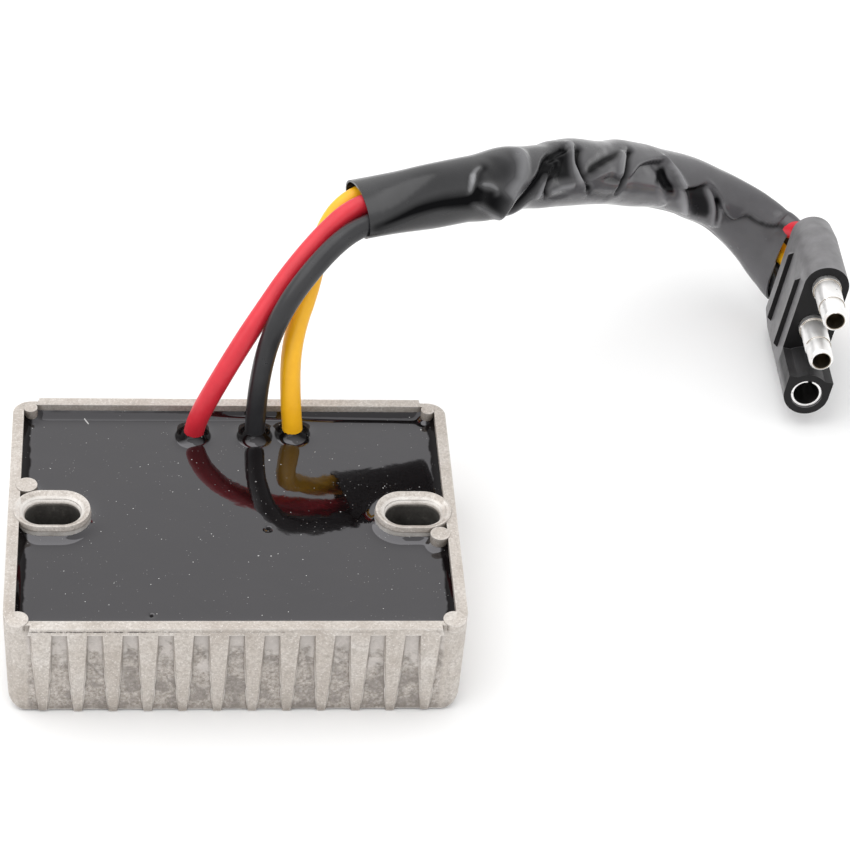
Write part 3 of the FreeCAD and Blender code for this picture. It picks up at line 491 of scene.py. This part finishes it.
# Edges that turn by more degrees than the first are rounded over, by more than the second shaded sharp
ROUNDED_FROM = 28
SHARP_FROM = 32


def rounded_copy(node, name, material, width_mm):
    """A CAD node's shape with its hard edges rounded over."""
    mesh = nodes[node].data.copy()
    with editing(mesh) as work:
        bmesh.ops.remove_doubles(work, verts=work.verts, dist=0.002 * MM)
        bmesh.ops.dissolve_limit(work, angle_limit=math.radians(0.4), verts=work.verts, edges=work.edges)
    obj = piece(name, mesh, material, node)
    bevel = obj.modifiers.new("edges", "BEVEL")
    bevel.width = width_mm * MM
    bevel.segments = 2
    bevel.limit_method = "ANGLE"
    bevel.angle_limit = math.radians(ROUNDED_FROM)
    shade_smooth(mesh, SHARP_FROM)
    return obj


def line_hollow(obj, at, radius, material, floor):
    """The faces of a terminal that lie in its bore, and with floor the bore's end, take another material, which
    paints the bore's shade.
    """
    obj.data.materials.append(material)
    at, axis = Vector(at) * MM, Vector(CONTACT_AXIS).normalized()
    for face in obj.data.polygons:
        out = face.center - at
        out -= axis * out.dot(axis)
        if out.length < radius * MM and abs(face.normal.dot(axis)) < 0.5:
            face.material_index = 1
        if floor and out.length < 0.6 * radius * MM:
            face.material_index = 1


def raise_lips(obj):
    """A thin raised lip round each slot, sloping in to the slot's edge."""
    turns = [2 * math.pi * (k + 0.5) / LIP_POINTS for k in range(LIP_POINTS)]
    with editing(obj.data) as work:
        for side in (-1, 1):
            rings = []
            for radius, z, share in LIP_PROFILE:
                middle = side * (SLOT_X + share * LIP_SHIFT[0]), SLOT_Y + share * LIP_SHIFT[1]
                rings.append([work.verts.new((
                    (middle[0] + math.copysign(LIP_HALF, math.cos(turn)) + radius * math.cos(turn)) * MM,
                    (middle[1] + radius * math.sin(turn)) * MM, z * MM)) for turn in turns])
            for outer, inner in zip(rings, rings[1:] + rings[:1]):
                for k in range(LIP_POINTS):
                    j = (k + 1) % LIP_POINTS
                    work.faces.new((outer[k], outer[j], inner[j], inner[k]))
    shade_smooth(obj.data, SHARP_FROM)


def taper_ribs(obj):
    """The housing's ribs widen towards their heads, on their faces and at their roots."""
    last = RIBS - 1
    for vertex in obj.data.vertices:
        x, y, z = vertex.co / MM
        if abs(y) > WALL_Y - 0.02 and z < BAND_FOOT + 0.05 and abs(x) < RIB_REACH:
            middle = (min(last, max(0, round(x / RIB_PITCH + last / 2))) - last / 2) * RIB_PITCH
            foot, head = RIB_TAPER["face" if abs(y) > WALL_Y + 0.1 else "root"]
            share = foot + (head - foot) * min(1.0, z / BAND_FOOT)
            if abs(x - middle) < 2.0:
                vertex.co.x = (middle + (x - middle) * share) * MM


# The connector's grips: how far back they lie, half their width, between what heights their floors are, and
# how far their points move outwards, inwards across and inwards along
GRIP_AT = (14.0, 4.2)
GRIP_HALF = 0.45
GRIP_FLOOR = (3.9, 4.1)
GRIP_MOVES = (1.45, 0.7, 0.08)
GRIP_SIDE = (-0.985, 0.056, 0.162)


def raise_ribs(obj):
    """The connector's grips: the CAD model's shallow grooves are pushed out into rounded ribs."""
    axis = Vector(CONTACT_AXIS).normalized()
    flat = Vector(GRIP_SIDE)
    flat = (flat - axis * flat.dot(axis)).normalized()
    width = flat.cross(axis)
    origin = Vector(metres([CONNECTOR_AT])[0])
    for back in GRIP_AT:
        for vertex in obj.data.vertices:
            local = vertex.co - origin
            off, rise, reach = local.dot(axis) / MM + back, local.dot(flat) / MM, local.dot(width) / MM
            if abs(off) < GRIP_HALF and GRIP_FLOOR[0] < abs(rise) < GRIP_FLOOR[1]:
                vertex.co += flat * math.copysign(GRIP_MOVES[0], rise) * MM
                vertex.co -= width * math.copysign(GRIP_MOVES[1], reach) * MM
                vertex.co -= axis * math.copysign(GRIP_MOVES[2], off) * MM


def curve_cord(name, points, diameter_mm, material):
    """A wire along its route, a NURBS spline with the route's points."""
    curve = bpy.data.curves.new(name, "CURVE")
    curve.dimensions = "3D"
    spline = curve.splines.new("NURBS")
    spline.points.add(len(points) - 1)
    for point, at in zip(spline.points, metres(points)):
        point.co = (*at, 1)
        point.radius = 2 * WIRE_R * MM
    spline.order_u = 3
    spline.use_endpoint_u = True
    spline.resolution_u = 10
    curve.bevel_depth = diameter_mm / (4 * WIRE_R)
    curve.bevel_resolution = 6
    curve.use_fill_caps = True
    curve.materials.append(material)
    return link(bpy.data.objects.new(name, curve))


# The cords' routes, as in the CAD model, with the free stretches set to the photograph
RED_ROUTE = [(-7.3, 24, 13.5), (-7, 23.2, 18.5), (-5.9, 22.4, 23.8), (-1.7, 24.7, 31.4), (2.5, 28.6, 37.1),
             (6.3, 32.1, 41.5), (9.4, 35.2, 44.9), (13.2, 38.5, 48.5), (17.4, 41.8, 51.9), (21.9, 44.9, 54.5),
             (28, 47, 55.6), (34.7, 49.1, 56.2), (43.8, 53.2, 55.6), (53.5, 60, 52.9), (63.1, 69.1, 48.1),
             (72, 78.3, 42.3), (79.6, 86, 36.7), (86.9, 91.2, 31.9), (94.1, 94.6, 27.5), (101, 96, 23.8),
             (107.5, 95, 21.3), (112.3, 92.2, 19.2), (115.4, 88.6, 19), (118.27, 82.9, 22.88),
             (118.02, 76.9, 23.47)]
BLACK_ROUTE = [(4.2, 23.4, 13.5), (4.4, 23.1, 18.5), (4.7, 24.2, 27.5), (6, 26.7, 34.9), (7.9, 27.9, 40.7),
               (10.6, 30.1, 45.2), (14.1, 33.2, 48.7), (17.9, 36.6, 51.4), (21.4, 39.3, 53), (25.5, 41.5, 53.8),
               (30, 44.5, 53.5), (35.3, 47.3, 52.9), (44.4, 51.3, 52.2), (54, 57.8, 49.7), (63.6, 66.8, 45),
               (72.4, 75.8, 39.2), (79.7, 83.4, 33.7), (86.6, 88.7, 28.9), (93.1, 92.2, 24.6), (99.3, 93.9, 20),
               (104.8, 94.1, 15.7), (109.4, 92.4, 11.8), (113.2, 88.4, 8), (115.2, 82.5, 4.7),
               (114.95, 78, 4.94)]
YELLOW_ROUTE = [(11.6, 23.9, 13.5), (11.5, 23.7, 18.5), (10.9, 24.9, 24.5), (10.7, 28.6, 32.4), (12, 32.9, 37.3),
                (13.8, 36.5, 40.6), (15.6, 41.6, 45.6), (17.9, 46.8, 50.4), (22, 50.5, 53),
                (27.5, 51.8, 53.7), (34.1, 51.9, 53.2), (42.4, 54.7, 52.2), (51.6, 60.9, 49.7),
                (60.8, 69.5, 45), (69.6, 78.5, 39.2), (77.1, 86.4, 33.7), (84.5, 92, 28.9), (91.8, 95.9, 24.6),
                (99, 97.6, 20.6), (105.5, 97, 17.3), (110.6, 94.1, 14.6), (114.3, 88.8, 13),
                (116.75, 83, 13.65), (116.5, 76.9, 14.25)]
SLEEVE_ROUTE = [(23.1, 45.8, 53.7), (32.9, 47.6, 54.8), (43.2, 51.8, 54.3), (55.1, 60, 51.1),
                (68.1, 73, 43.7), (80.4, 86, 34.3), (90.5, 92.6, 27.8), (98.9, 95.3, 22.5),
                (105, 95.1, 18.7), (109.6, 93.2, 15.7), (112.2, 90.7, 13.7), (113.8, 88.4, 12.9),
                (114.7, 87.2, 12.5)]


def spline_points(obj):
    """The points of a curve's own line, evenly read from its spline."""
    depth = obj.data.bevel_depth
    obj.data.bevel_depth = 0
    mesh = bpy.data.meshes.new_from_object(obj)
    obj.data.bevel_depth = depth
    places = [v.co.copy() for v in mesh.vertices]
    bpy.data.meshes.remove(mesh)
    return places


def length_of(points):
    return sum((b - a).length for a, b in zip(points, points[1:]))


def even(points, step):
    """Points a step apart along a line of close points."""
    total = length_of(points)
    count = max(2, round(total / step))
    marks = [total * i / count for i in range(count + 1)]
    out = []
    run = 0.0
    index = 0
    for mark in marks:
        while index < len(points) - 2 and run + (points[index + 1] - points[index]).length < mark:
            run += (points[index + 1] - points[index]).length
            index += 1
        leg = (points[index + 1] - points[index]).length
        out.append(points[index].lerp(points[index + 1], min(1.0, (mark - run) / leg)))
    return out


wires = {}
for name, route, material, slot in (("red_lead", RED_ROUTE, RED, "red_insulation"),
                                    ("black_lead", BLACK_ROUTE, BLACK, "black_insulation"),
                                    ("yellow_lead", YELLOW_ROUTE, YELLOW, "yellow_insulation")):
    wire = curve_cord(name, route, 2 * WIRE_R, material)
    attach(wire, "root")
    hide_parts(name.replace("lead", "wire"))
    wires[name] = wire


def smooth_step(value, low, high):
    share = min(1.0, max(0.0, (value - low) / (high - low)))
    return share * share * (3 - 2 * share)


# The sleeve: rings round its own line, shaped by how it lies at its two mouths and by its wrinkles.
# Every place on it is a length along it in millimetres and an angle round it in degrees: 0 is its
# back side, 90 its top, 140 faces the camera and 230 is its lower outline.

RING_STEP = 0.36
RING_COUNT = 128
MM_PER_DEGREE = math.radians(SLEEVE_R)
LEFT_SLANT = (-0.06, 0.18)
RIGHT_SLANT = (0.0, -0.22)

# How far the upper and the lower outline stand out beyond the round tube
UPPER_SWELL = [(0, 0.2), (11, 0.05), (23, 0.2), (31.5, 0.85), (38, 0.35), (42, 0.3), (46.3, 0.85), (52, 1.1),
               (63, 0.45), (70.6, 1.1), (78, 0.85), (84, 0.45), (92.6, 0.65), (100, 0.5), (108, 0.2),
               (114, 0), (122, 0)]
LOWER_SWELL = [(0, 0.5), (9, 0.45), (20, 0.45), (25, 0.85), (30, 0.7), (34.6, -0.15), (41.4, 0.3), (52, 0.5),
               (63.4, 0.45), (75.5, 0.65), (84, 0.15), (92.6, 0), (96, 0.2), (106, -0.2), (112, -0.2),
               (116, 0), (122, 0)]

# How far the back stands out near the left mouth, where a wire lies against it
BACK_SWELL = [(0, 0.9), (14, 0.85), (24, 0.35), (32, 0), (122, 0)]

# How its mouths are flattened: over what length, and what its half width and half heights up and down gain
LEFT_MOUTH = (15, 1.5, -2.1, -2.1)
RIGHT_MOUTH = (22, -2.4, 3.6, 3.5)

# The long fold that the upper half makes over the lower one, and how deep the lower side lies under it
FOLD = [(62.5, 172), (66.5, 156), (69.7, 138), (74.2, 126), (78.7, 117), (80.9, 114), (82.6, 138), (85.9, 163),
        (90.4, 152), (92.1, 142), (94.4, 134), (97.5, 146), (101.6, 166), (105.2, 169), (106.5, 156),
        (107.9, 145), (111.9, 142), (116.4, 132), (121, 124)]
FOLD_DEPTH = [(62, 0), (68, 0.5), (78, 1.25), (98, 1.3), (106, 1.1), (113, 0.8), (121, 0.5)]

# Valleys and ridges: a line of places, half its width in mm, how far the wall moves out, and how much painted
# shade it takes, painted highlight where that is negative
CREASES = [
    ([(1.5, 172), (5, 163), (10, 157), (14, 157), (19, 161)], 1.2, -0.3, 0.6),
    ([(22.3, 108), (21, 114), (20.1, 123), (19.5, 134)], 0.30, 0.35, -0.9),
    ([(20.2, 122), (19.6, 133), (19.1, 143), (18.8, 150)], 0.33, 0.35, -1.1),
    ([(23, 110), (21.7, 120), (20.9, 134), (20.2, 150)], 0.5, -0.3, 0.5),
    ([(21.4, 141), (23.2, 145), (24.4, 155), (24.6, 166)], 0.45, 0.4, -0.7),
    ([(19.3, 172), (22.5, 192), (27, 222)], 0.5, 0.35, -0.7),
    ([(32.4, 94), (31.6, 114), (30.4, 134), (28.4, 156), (27, 184), (27.2, 208)], 1.5, 0.85, -0.5),
    ([(46, 94), (41.5, 104), (38, 120), (34.9, 150), (32, 176), (28.6, 206)], 0.95, -1.3, 1.1),
    ([(41.6, 122), (37.6, 142), (35.4, 166), (34.9, 186)], 0.55, 0.5, -0.7),
    ([(40.4, 130), (37.6, 150), (36.7, 172), (37.6, 190)], 0.5, -0.7, 1),
    ([(38.6, 182), (42, 178), (44.8, 175)], 0.4, 0.3, -0.6),
    ([(48.5, 88), (46.2, 112), (45.2, 136), (46.2, 160), (49.4, 178)], 0.65, 0.7, -0.7),
    ([(49.8, 102), (47.6, 122), (47.2, 142), (48.4, 166), (51, 186)], 0.7, -1, 1.1),
    ([(68.8, 106), (66, 128), (64.4, 150), (63.4, 172), (62.2, 194)], 0.6, -1.1, 1.1),
    ([(64.6, 118), (62.6, 136), (61.4, 160)], 1, 0.4, -0.45),
    ([(80.6, 117), (82.4, 132), (85, 152), (88.4, 178), (92.5, 214)], 0.75, 0.8, -0.75),
    ([(88, 190), (91, 206), (94, 222)], 1.1, 0.3, -0.5),
    ([(78, 176), (81.6, 196), (84, 214)], 1.1, 0.35, -0.4),
    ([(94.6, 140), (96.6, 156), (98.6, 176), (102.4, 212)], 0.75, 0.75, -0.6),
    ([(98.2, 156), (99.4, 168), (100.4, 182), (101.4, 192)], 0.5, -0.5, 0.9),
    ([(99.6, 158), (101.2, 172), (102.6, 190), (103.6, 206)], 0.5, 0.3, -0.6),
    ([(52, 196), (56, 202), (60, 206)], 1, -0.3, 0.4),
]

# Dents: place, half lengths along and round, how far the long axis leans, and depth
DENTS = [
    (26.4, 126, 3.4, 2.8, -14, -0.8),
    (23.6, 172, 2.6, 2, 24, -0.8),
    (41.6, 142, 4, 3.1, -14, -1),
    (41, 193, 3, 0.8, 0, -0.25),
    (57, 126, 8.4, 1.25, -18, -0.8),
    (60, 168, 4.4, 0.85, 4, -0.4),
    (54.5, 156, 4, 1.1, -12, 0.3),
    (80.2, 152, 3.6, 2.4, 20, -0.6),
    (94.6, 176, 4.4, 3.4, 14, -0.35),
    (73, 172, 5, 2.4, 0, 0.25),
]

# Patches painted in deep shade: how dark, how soft their edge is in mm, and their corners
SHADES = [
    (0.50, 0.7, [(3, 168), (9.5, 155), (18.5, 160), (19.6, 186), (14, 172), (8, 166)]),
    (0.42, 1.6, [(22.9, 98), (25.6, 94), (29.2, 112), (28.6, 142), (24.7, 146), (21.6, 134)]),
    (0.80, 0.7, [(20.6, 144), (22.9, 154), (24.6, 160), (27.6, 178), (27, 214), (21.6, 188), (18.4, 168)]),
    (0.75, 0.8, [(38.7, 126), (46.6, 98), (44.8, 124), (44.3, 160), (40, 163), (35.8, 154)]),
    (0.75, 0.5, [(37.8, 118), (42.3, 100), (44.1, 98), (40.5, 150), (36.9, 152)]),
    (0.85, 0.6, [(48.8, 158), (50.3, 138), (57.5, 118), (66.1, 99), (62.6, 124), (55.3, 145), (50.8, 157)]),
    (0.60, 0.6, [(54, 165), (59.3, 162), (63, 165), (61.6, 178), (56.2, 174)]),
    (0.90, 0.7, [(80.5, 122), (77.4, 140), (75.8, 168), (81.8, 186), (85, 184), (84.1, 168), (82, 150)]),
    (0.70, 0.7, [(87, 166), (90.6, 154), (93.6, 142), (95, 160), (98.6, 190), (98.8, 206), (94.7, 216),
                 (91, 204)]),
]


def smooth_line(places, parts=5):
    """Close places on a smooth line through the given ones."""
    line = []
    ends = [places[0]] + list(places) + [places[-1]]
    for p0, p1, p2, p3 in zip(ends, ends[1:], ends[2:], ends[3:]):
        for step in range(parts):
            t = step / parts
            line.append(tuple(b + 0.5 * t * (c - a + t * (2 * a - 5 * b + 4 * c - d + t * (3 * (b - c) + d - a)))
                              for a, b, c, d in zip(p0, p1, p2, p3)))
    return line + [places[-1]]


CREASE_LINES = [(smooth_line(places), half, height, shade) for places, half, height, shade in CREASES]


def at_length(table, s):
    """A table's value at a length along the sleeve, eased between its entries."""
    for (s0, a), (s1, b) in zip(table, table[1:]):
        if s <= s1:
            return a + (b - a) * smooth_step(s, s0, s1)
    return table[-1][1]


def section(s, total):
    """Half width along the level side and half height up and down, at a length."""
    left = 1 - smooth_step(s, 1.0, LEFT_MOUTH[0])
    right = smooth_step(s, total - RIGHT_MOUTH[0], total - 1.0)
    return [SLEEVE_R + a * left + b * right for a, b in zip(LEFT_MOUTH[1:], RIGHT_MOUTH[1:])]


def leg_gap(p, q, u, v):
    """How far a point at p, q lies from the straight leg between the origin and u, v."""
    share = min(1.0, max(0.0, (p * u + q * v) / (u * u + v * v)))
    return math.hypot(p - share * u, q - share * v)


def crease_reach(s, angle, places, limit):
    """How far a place lies from a crease's line, in mm, if it is nearer than the limit."""
    nearest = limit
    for (s0, a0), (s1, a1) in zip(places, places[1:]):
        if min(s0, s1) - limit < s < max(s0, s1) + limit:
            nearest = min(nearest, leg_gap(s - s0, (angle - a0) * MM_PER_DEGREE, s1 - s0,
                                           (a1 - a0) * MM_PER_DEGREE))
    return nearest


def corners_hold(s, angle, corners, soft):
    """Whether a place is near enough to a patch to be worth measuring."""
    lengths, angles = zip(*corners)
    return (min(lengths) - 2 * soft < s < max(lengths) + 2 * soft
            and min(angles) - 20 * soft < angle < max(angles) + 20 * soft)


def patch_depth(s, angle, corners):
    """How far a place lies inside a patch's outline, in mm; outside it is less than nothing."""
    inside = False
    nearest = 1e9
    y = angle * MM_PER_DEGREE
    for (s0, a0), (s1, a1) in zip(corners, corners[1:] + corners[:1]):
        y0, y1 = a0 * MM_PER_DEGREE, a1 * MM_PER_DEGREE
        if (y0 > y) != (y1 > y) and s < s0 + (s1 - s0) * (y - y0) / (y1 - y0):
            inside = not inside
        nearest = min(nearest, leg_gap(s - s0, y - y0, s1 - s0, y1 - y0))
    return nearest if inside else -nearest


def relief(s, angle):
    """How far the wall moves outwards here, and how much painted shade it takes, painted highlight where
    negative.
    """
    upper = max(0.0, math.cos(math.radians(angle - 50))) ** 2
    lower = max(0.0, math.cos(math.radians(angle - 230))) ** 2
    rear = max(0.0, math.cos(math.radians(angle - 330))) ** 2
    move = at_length(UPPER_SWELL, s) * upper + at_length(LOWER_SWELL, s) * lower
    move += at_length(BACK_SWELL, s) * rear
    dark = 0.0
    if not 60 < angle < 250:
        return move, dark
    for places, half, height, shade in CREASE_LINES:
        reach = crease_reach(s, angle, places, 3 * half) / half
        if reach < 2.9:
            share = math.exp(-reach ** 2)
            move += height * share
            dark += shade * share
    wave = angle * MM_PER_DEGREE
    swing, sway = 0.5 * math.sin(1.1 * wave + 0.5 * s), 0.4 * math.sin(1.3 * s - 0.7 * wave)
    for s0, a0, along, around, lean, height in DENTS:
        ease = min(1.0, (around / 3.0) ** 2)
        p, q = s - s0 + swing * ease, (angle - a0) * MM_PER_DEGREE + sway * ease
        c, n = math.cos(math.radians(lean)), math.sin(math.radians(lean))
        far = ((p * c + q * n) / along) ** 2 + ((q * c - p * n) / around) ** 2
        if far < 6:
            move += height * math.exp(-far ** 1.5)
    for shade, soft, corners in SHADES:
        if corners_hold(s, angle, corners, soft):
            dark += shade * smooth_step(patch_depth(s + 0.4 * swing, angle, corners), -soft, soft)
    if s > FOLD[0][0]:
        below = (angle - fold_angle(s)) * MM_PER_DEGREE
        depth = at_length(FOLD_DEPTH, s)
        if below > 0:
            move -= depth * smooth_step(below, 0.0, 0.5) * math.exp(-below / 5.0)
            # Painted shade along the underside of the fold
            shade = 1.2 * min(1.0, depth * 1.4)
            dark += shade * smooth_step(below, 0.0, 0.2) * math.exp(-(below / 0.62) ** 2)
        else:
            move += 0.22 * depth * math.exp(-(below / 1.0) ** 2)
    return move, min(1.0, max(-1.3, dark))


def smoothed(grid):
    """A grid of rings with every value eased towards its neighbours."""
    rings = [[row[k - 1] * 0.25 + row[k] * 0.5 + row[(k + 1) % len(row)] * 0.25 for k in range(len(row))]
             for row in grid]
    last = len(rings) - 1
    return [[rings[max(0, i - 1)][k] * 0.25 + row[k] * 0.5 + rings[min(last, i + 1)][k] * 0.25
             for k in range(len(row))] for i, row in enumerate(rings)]


FOLD_LINE = smooth_line(FOLD, 4)


def fold_angle(s):
    for (s0, a), (s1, b) in zip(FOLD_LINE, FOLD_LINE[1:]):
        if s <= s1:
            return a + (b - a) * (s - s0) / (s1 - s0)
    return FOLD_LINE[-1][1]


def sleeve_mesh():
    guide = curve_cord("sleeve_line", SLEEVE_ROUTE, 2 * SLEEVE_R, SLEEVE)
    line = spline_points(guide)
    bpy.data.objects.remove(guide)
    rings = even(line, RING_STEP * MM)
    total = length_of(rings) / MM
    lengths = [total * index / (len(rings) - 1) for index in range(len(rings))]
    angles = [360 * k / RING_COUNT for k in range(RING_COUNT)]
    reliefs = [[relief(s, angle) for angle in angles] for s in lengths]
    moves = smoothed([[move for move, dark in row] for row in reliefs])
    darks = smoothed([[dark for move, dark in row] for row in reliefs])
    outer, inner, shade_weights = [], [], []
    for index, (at, s) in enumerate(zip(rings, lengths)):
        before = rings[max(0, index - 1)]
        after = rings[min(len(rings) - 1, index + 1)]
        ahead = (after - before).normalized()
        up = (Vector((0, 0, 1)) - ahead * ahead.z).normalized()
        side = up.cross(ahead)
        wide, above, below = section(s, total)
        near_left = 1 - smooth_step(s, 0.0, 9.0)
        near_right = smooth_step(s, total - 12.0, total)
        twist = math.radians(14 * near_right)
        up, side = (up * math.cos(twist) + side * math.sin(twist),
                    side * math.cos(twist) - up * math.sin(twist))
        lean_side, lean_up = (near_left * a + near_right * b for a, b in zip(LEFT_SLANT, RIGHT_SLANT))
        for angle, move, dark in zip(angles, moves[index], darks[index]):
            c, n = math.cos(math.radians(angle)), math.sin(math.radians(angle))
            offset = side * (c * wide) + up * (n * (above if n > 0 else below))
            out = offset.normalized()
            slant = ahead * (lean_side * offset.dot(side) + lean_up * offset.dot(up))
            outer.append(at + (offset + out * move + slant) * MM)
            inner.append(at + (offset + out * (move - SLEEVE_WALL) + slant) * MM)
            shade_weights.append(dark)
    mesh = bpy.data.meshes.new("sleeve")
    count = len(outer)
    faces = []
    for ring in range(len(rings) - 1):
        for k in range(RING_COUNT):
            a, b = ring * RING_COUNT + k, ring * RING_COUNT + (k + 1) % RING_COUNT
            faces.append((a, a + RING_COUNT, b + RING_COUNT, b))
            faces.append((count + a, count + b, count + b + RING_COUNT, count + a + RING_COUNT))
    last = (len(rings) - 1) * RING_COUNT
    for k in range(RING_COUNT):
        j = (k + 1) % RING_COUNT
        faces.append((k, j, count + j, count + k))
        faces.append((last + k, count + last + k, count + last + j, last + j))
    mesh.from_pydata(outer + inner, [], faces)
    mesh.update()
    mesh.attributes.new("shade_and_highlight", "FLOAT", "POINT").data.foreach_set("value", shade_weights * 2)
    shade_smooth(mesh, 60)
    with editing(mesh) as work:
        bmesh.ops.recalc_face_normals(work, faces=work.faces)
    return mesh, rings


mesh, sleeve_line = sleeve_mesh()
sleeve = piece("sleeve", mesh, SLEEVE, "wire_sleeve")


# Housing, connector and terminals keep the CAD shapes, with their edges rounded over
housing = rounded_copy("housing", "cast_housing", CAST, 0.22)
taper_ribs(housing)
raise_lips(housing)
connector = rounded_copy("connector_body", "connector_moulding", MOULDING, 0.14)
pins = {
    "red_lead": rounded_copy("upper_bullet_pin", "upper_bullet", TIN, 0.22),
    "yellow_lead": rounded_copy("lower_bullet_pin", "lower_bullet", TIN, 0.22),
    "black_lead": rounded_copy("socket_terminal", "socket", TIN, 0.12),
}
# The bores: where their mouths are, their radius, their lining of painted shade, and whether it covers their
# floor
BORES = {"red_lead": ((116.975, 51.512, 25.984), 1.8, BORE_SHADE, True),
         "yellow_lead": ((115.429, 50.685, 16.851), 1.8, BORE_SHADE, True),
         "black_lead": ((114.096, 55.028, 7.213), 2.56, SOCKET_SHADE, False)}
for name, bore in BORES.items():
    line_hollow(pins[name], *bore)
raise_ribs(connector)

for name, wire in wires.items():
    line = spline_points(wire)


# Potting: a closed solid whose top creeps up everything that stands in it. Pegs: place and radius. Pits: place,
# radius and depth. Climbs: how high and over what length
CAVITY = (37.95, 29.2)
CAVITY_R = 2.0
BOSS_R = 4.95
CLIMBS = {"wall": (1.15, 0.75), "boss": (0.8, 0.8), "peg": (0.7, 0.55), "wire": (1.4, 0.62)}
HIGHEST_CLIMB = 1.9
PEGS = [(36.8, 28.25, 1.25), (-36.8, 28.25, 1.25), (36.65, -6.6, 1.75), (-36.9, 6.4, 1.9)]
PITS = [(6.24, -2.57, 0.42, 0.35), (-14.64, -25.39, 0.35, 0.3)]


def stadium(x, y, radius):
    """How far a point lies outside the nearer slot's outline of that radius."""
    across = max(abs(abs(x) - SLOT_X) - SLOT_HALF, 0)
    return math.hypot(across, y - SLOT_Y) - radius


def wall_gap(x, y):
    """How far a point lies from the cavity's wall, with its rounded corners."""
    dx, dy = abs(x) - (CAVITY[0] - CAVITY_R), abs(y) - (CAVITY[1] - CAVITY_R)
    if dx > 0 and dy > 0:
        return CAVITY_R - math.hypot(dx, dy)
    return CAVITY_R - max(dx, dy)


def potting_height(x, y):
    gaps = [("wall", wall_gap(x, y)), ("boss", stadium(x, y, BOSS_R))]
    gaps += [("peg", math.hypot(x - px, y - py) - r) for px, py, r in PEGS]
    gaps += [("wire", math.hypot(x - px, y - py) - WIRE_R) for px, py in WIRE_FEET]
    rises = [CLIMBS[kind][0] * math.exp(-max(0.0, gap) / CLIMBS[kind][1]) for kind, gap in gaps]
    rise = min(HIGHEST_CLIMB, sum(rise ** 2 for rise in rises) ** 0.5)
    for px, py, r, depth in PITS:
        rise -= depth * math.exp(-((x - px) ** 2 + (y - py) ** 2) / (r * r))
    return POTTING_TOP + rise


def potting_mesh():
    step = 0.38
    half_x, half_y = (half + 0.15 for half in CAVITY)
    nx, ny = round(2 * half_x / step), round(2 * half_y / step)
    grid = {}
    places = []
    for i in range(nx + 1):
        for j in range(ny + 1):
            x, y = -half_x + 2 * half_x * i / nx, -half_y + 2 * half_y * j / ny
            if stadium(x, y, BOSS_R - 0.85) > 0:
                grid[i, j] = len(places)
                places.append((x, y))
    top = [(x * MM, y * MM, potting_height(x, y) * MM) for x, y in places]
    foot = [(x * MM, y * MM, POTTING_FOOT * MM) for x, y in places]
    quads = []
    for i in range(nx):
        for j in range(ny):
            corners = [(i, j), (i + 1, j), (i + 1, j + 1), (i, j + 1)]
            if all(c in grid for c in corners):
                quads.append([grid[c] for c in corners])
    edges = dict.fromkeys(edge for quad in quads for edge in zip(quad, quad[1:] + quad[:1]))
    count = len(places)
    faces = [tuple(q) for q in quads] + [tuple(count + v for v in reversed(q)) for q in quads]
    faces += [(b, a, count + a, count + b) for a, b in edges if (b, a) not in edges]
    mesh = bpy.data.meshes.new("potting")
    mesh.from_pydata(top + foot, [], faces)
    with editing(mesh) as work:
        bmesh.ops.delete(work, geom=[v for v in work.verts if not v.link_faces], context="VERTS")
    shade_smooth(mesh, 60)
    return mesh


piece("potting", potting_mesh(), RESIN, "potting_compound")


# Stage: a pale floor, a soft pale surround and one soft light overhead

FLOOR_REACH = 3.0
FLOOR_Z = -0.0001
LIGHT_AT = (-0.30, 0.10, 0.85)
LIGHT_AIM = (0.03, 0.03, 0.02)
LIGHT_SIZE = (1.1, 0.9)
LIGHT_POWER = 4.0
SURROUND_POWER = 1.2
# How bright the surround is, from below to above
SURROUND = [(0.0, 0.70), (0.25, 0.92), (0.6, 1.0), (0.85, 0.86), (1.0, 0.8)]


def make_floor():
    mesh = bpy.data.meshes.new("floor")
    corners = [(x * FLOOR_REACH, y * FLOOR_REACH, FLOOR_Z) for x, y in ((-1, -1), (1, -1), (1, 1), (-1, 1))]
    mesh.from_pydata(corners, [], [(0, 1, 2, 3)])
    obj = link(bpy.data.objects.new("floor", mesh))
    look = Look("floor", Specular_IOR_Level=0.1)
    colour = look.tones(60.0, 2.0, (0.90, 0.90, 0.90), (0.92, 0.92, 0.92))
    mesh.materials.append(look.feed(Base_Color=colour, Roughness=look.uneven(5.0, 3.0, 0.7, 0.85)))


def make_surround():
    world = bpy.data.worlds.new("surround")
    world.use_nodes = True
    bpy.context.scene.world = world
    tree = world.node_tree
    way, parts, ramp = (tree.nodes.new(kind) for kind in (
        "ShaderNodeTexCoord", "ShaderNodeSeparateXYZ", "ShaderNodeValToRGB"))
    fill_ramp(ramp.color_ramp.elements, [(at, (level, level, level)) for at, level in SURROUND])
    tree.links.new(way.outputs["Generated"], parts.inputs[0])
    tree.links.new(parts.outputs["Z"], ramp.inputs["Fac"])
    background = tree.nodes["Background"]
    tree.links.new(ramp.outputs["Color"], background.inputs["Color"])
    background.inputs["Strength"].default_value = SURROUND_POWER


def make_light():
    data = bpy.data.lights.new("overhead", "AREA")
    data.shape = "RECTANGLE"
    data.size, data.size_y = LIGHT_SIZE
    data.energy = LIGHT_POWER
    light = link(bpy.data.objects.new("overhead", data))
    light.location = LIGHT_AT
    light.rotation_euler = (Vector(LIGHT_AIM) - Vector(LIGHT_AT)).to_track_quat("-Z", "Y").to_euler()


make_floor()
make_surround()
make_light()
bpy.context.scene.view_settings.view_transform = "Standard"

bpy.context.view_layer.update()
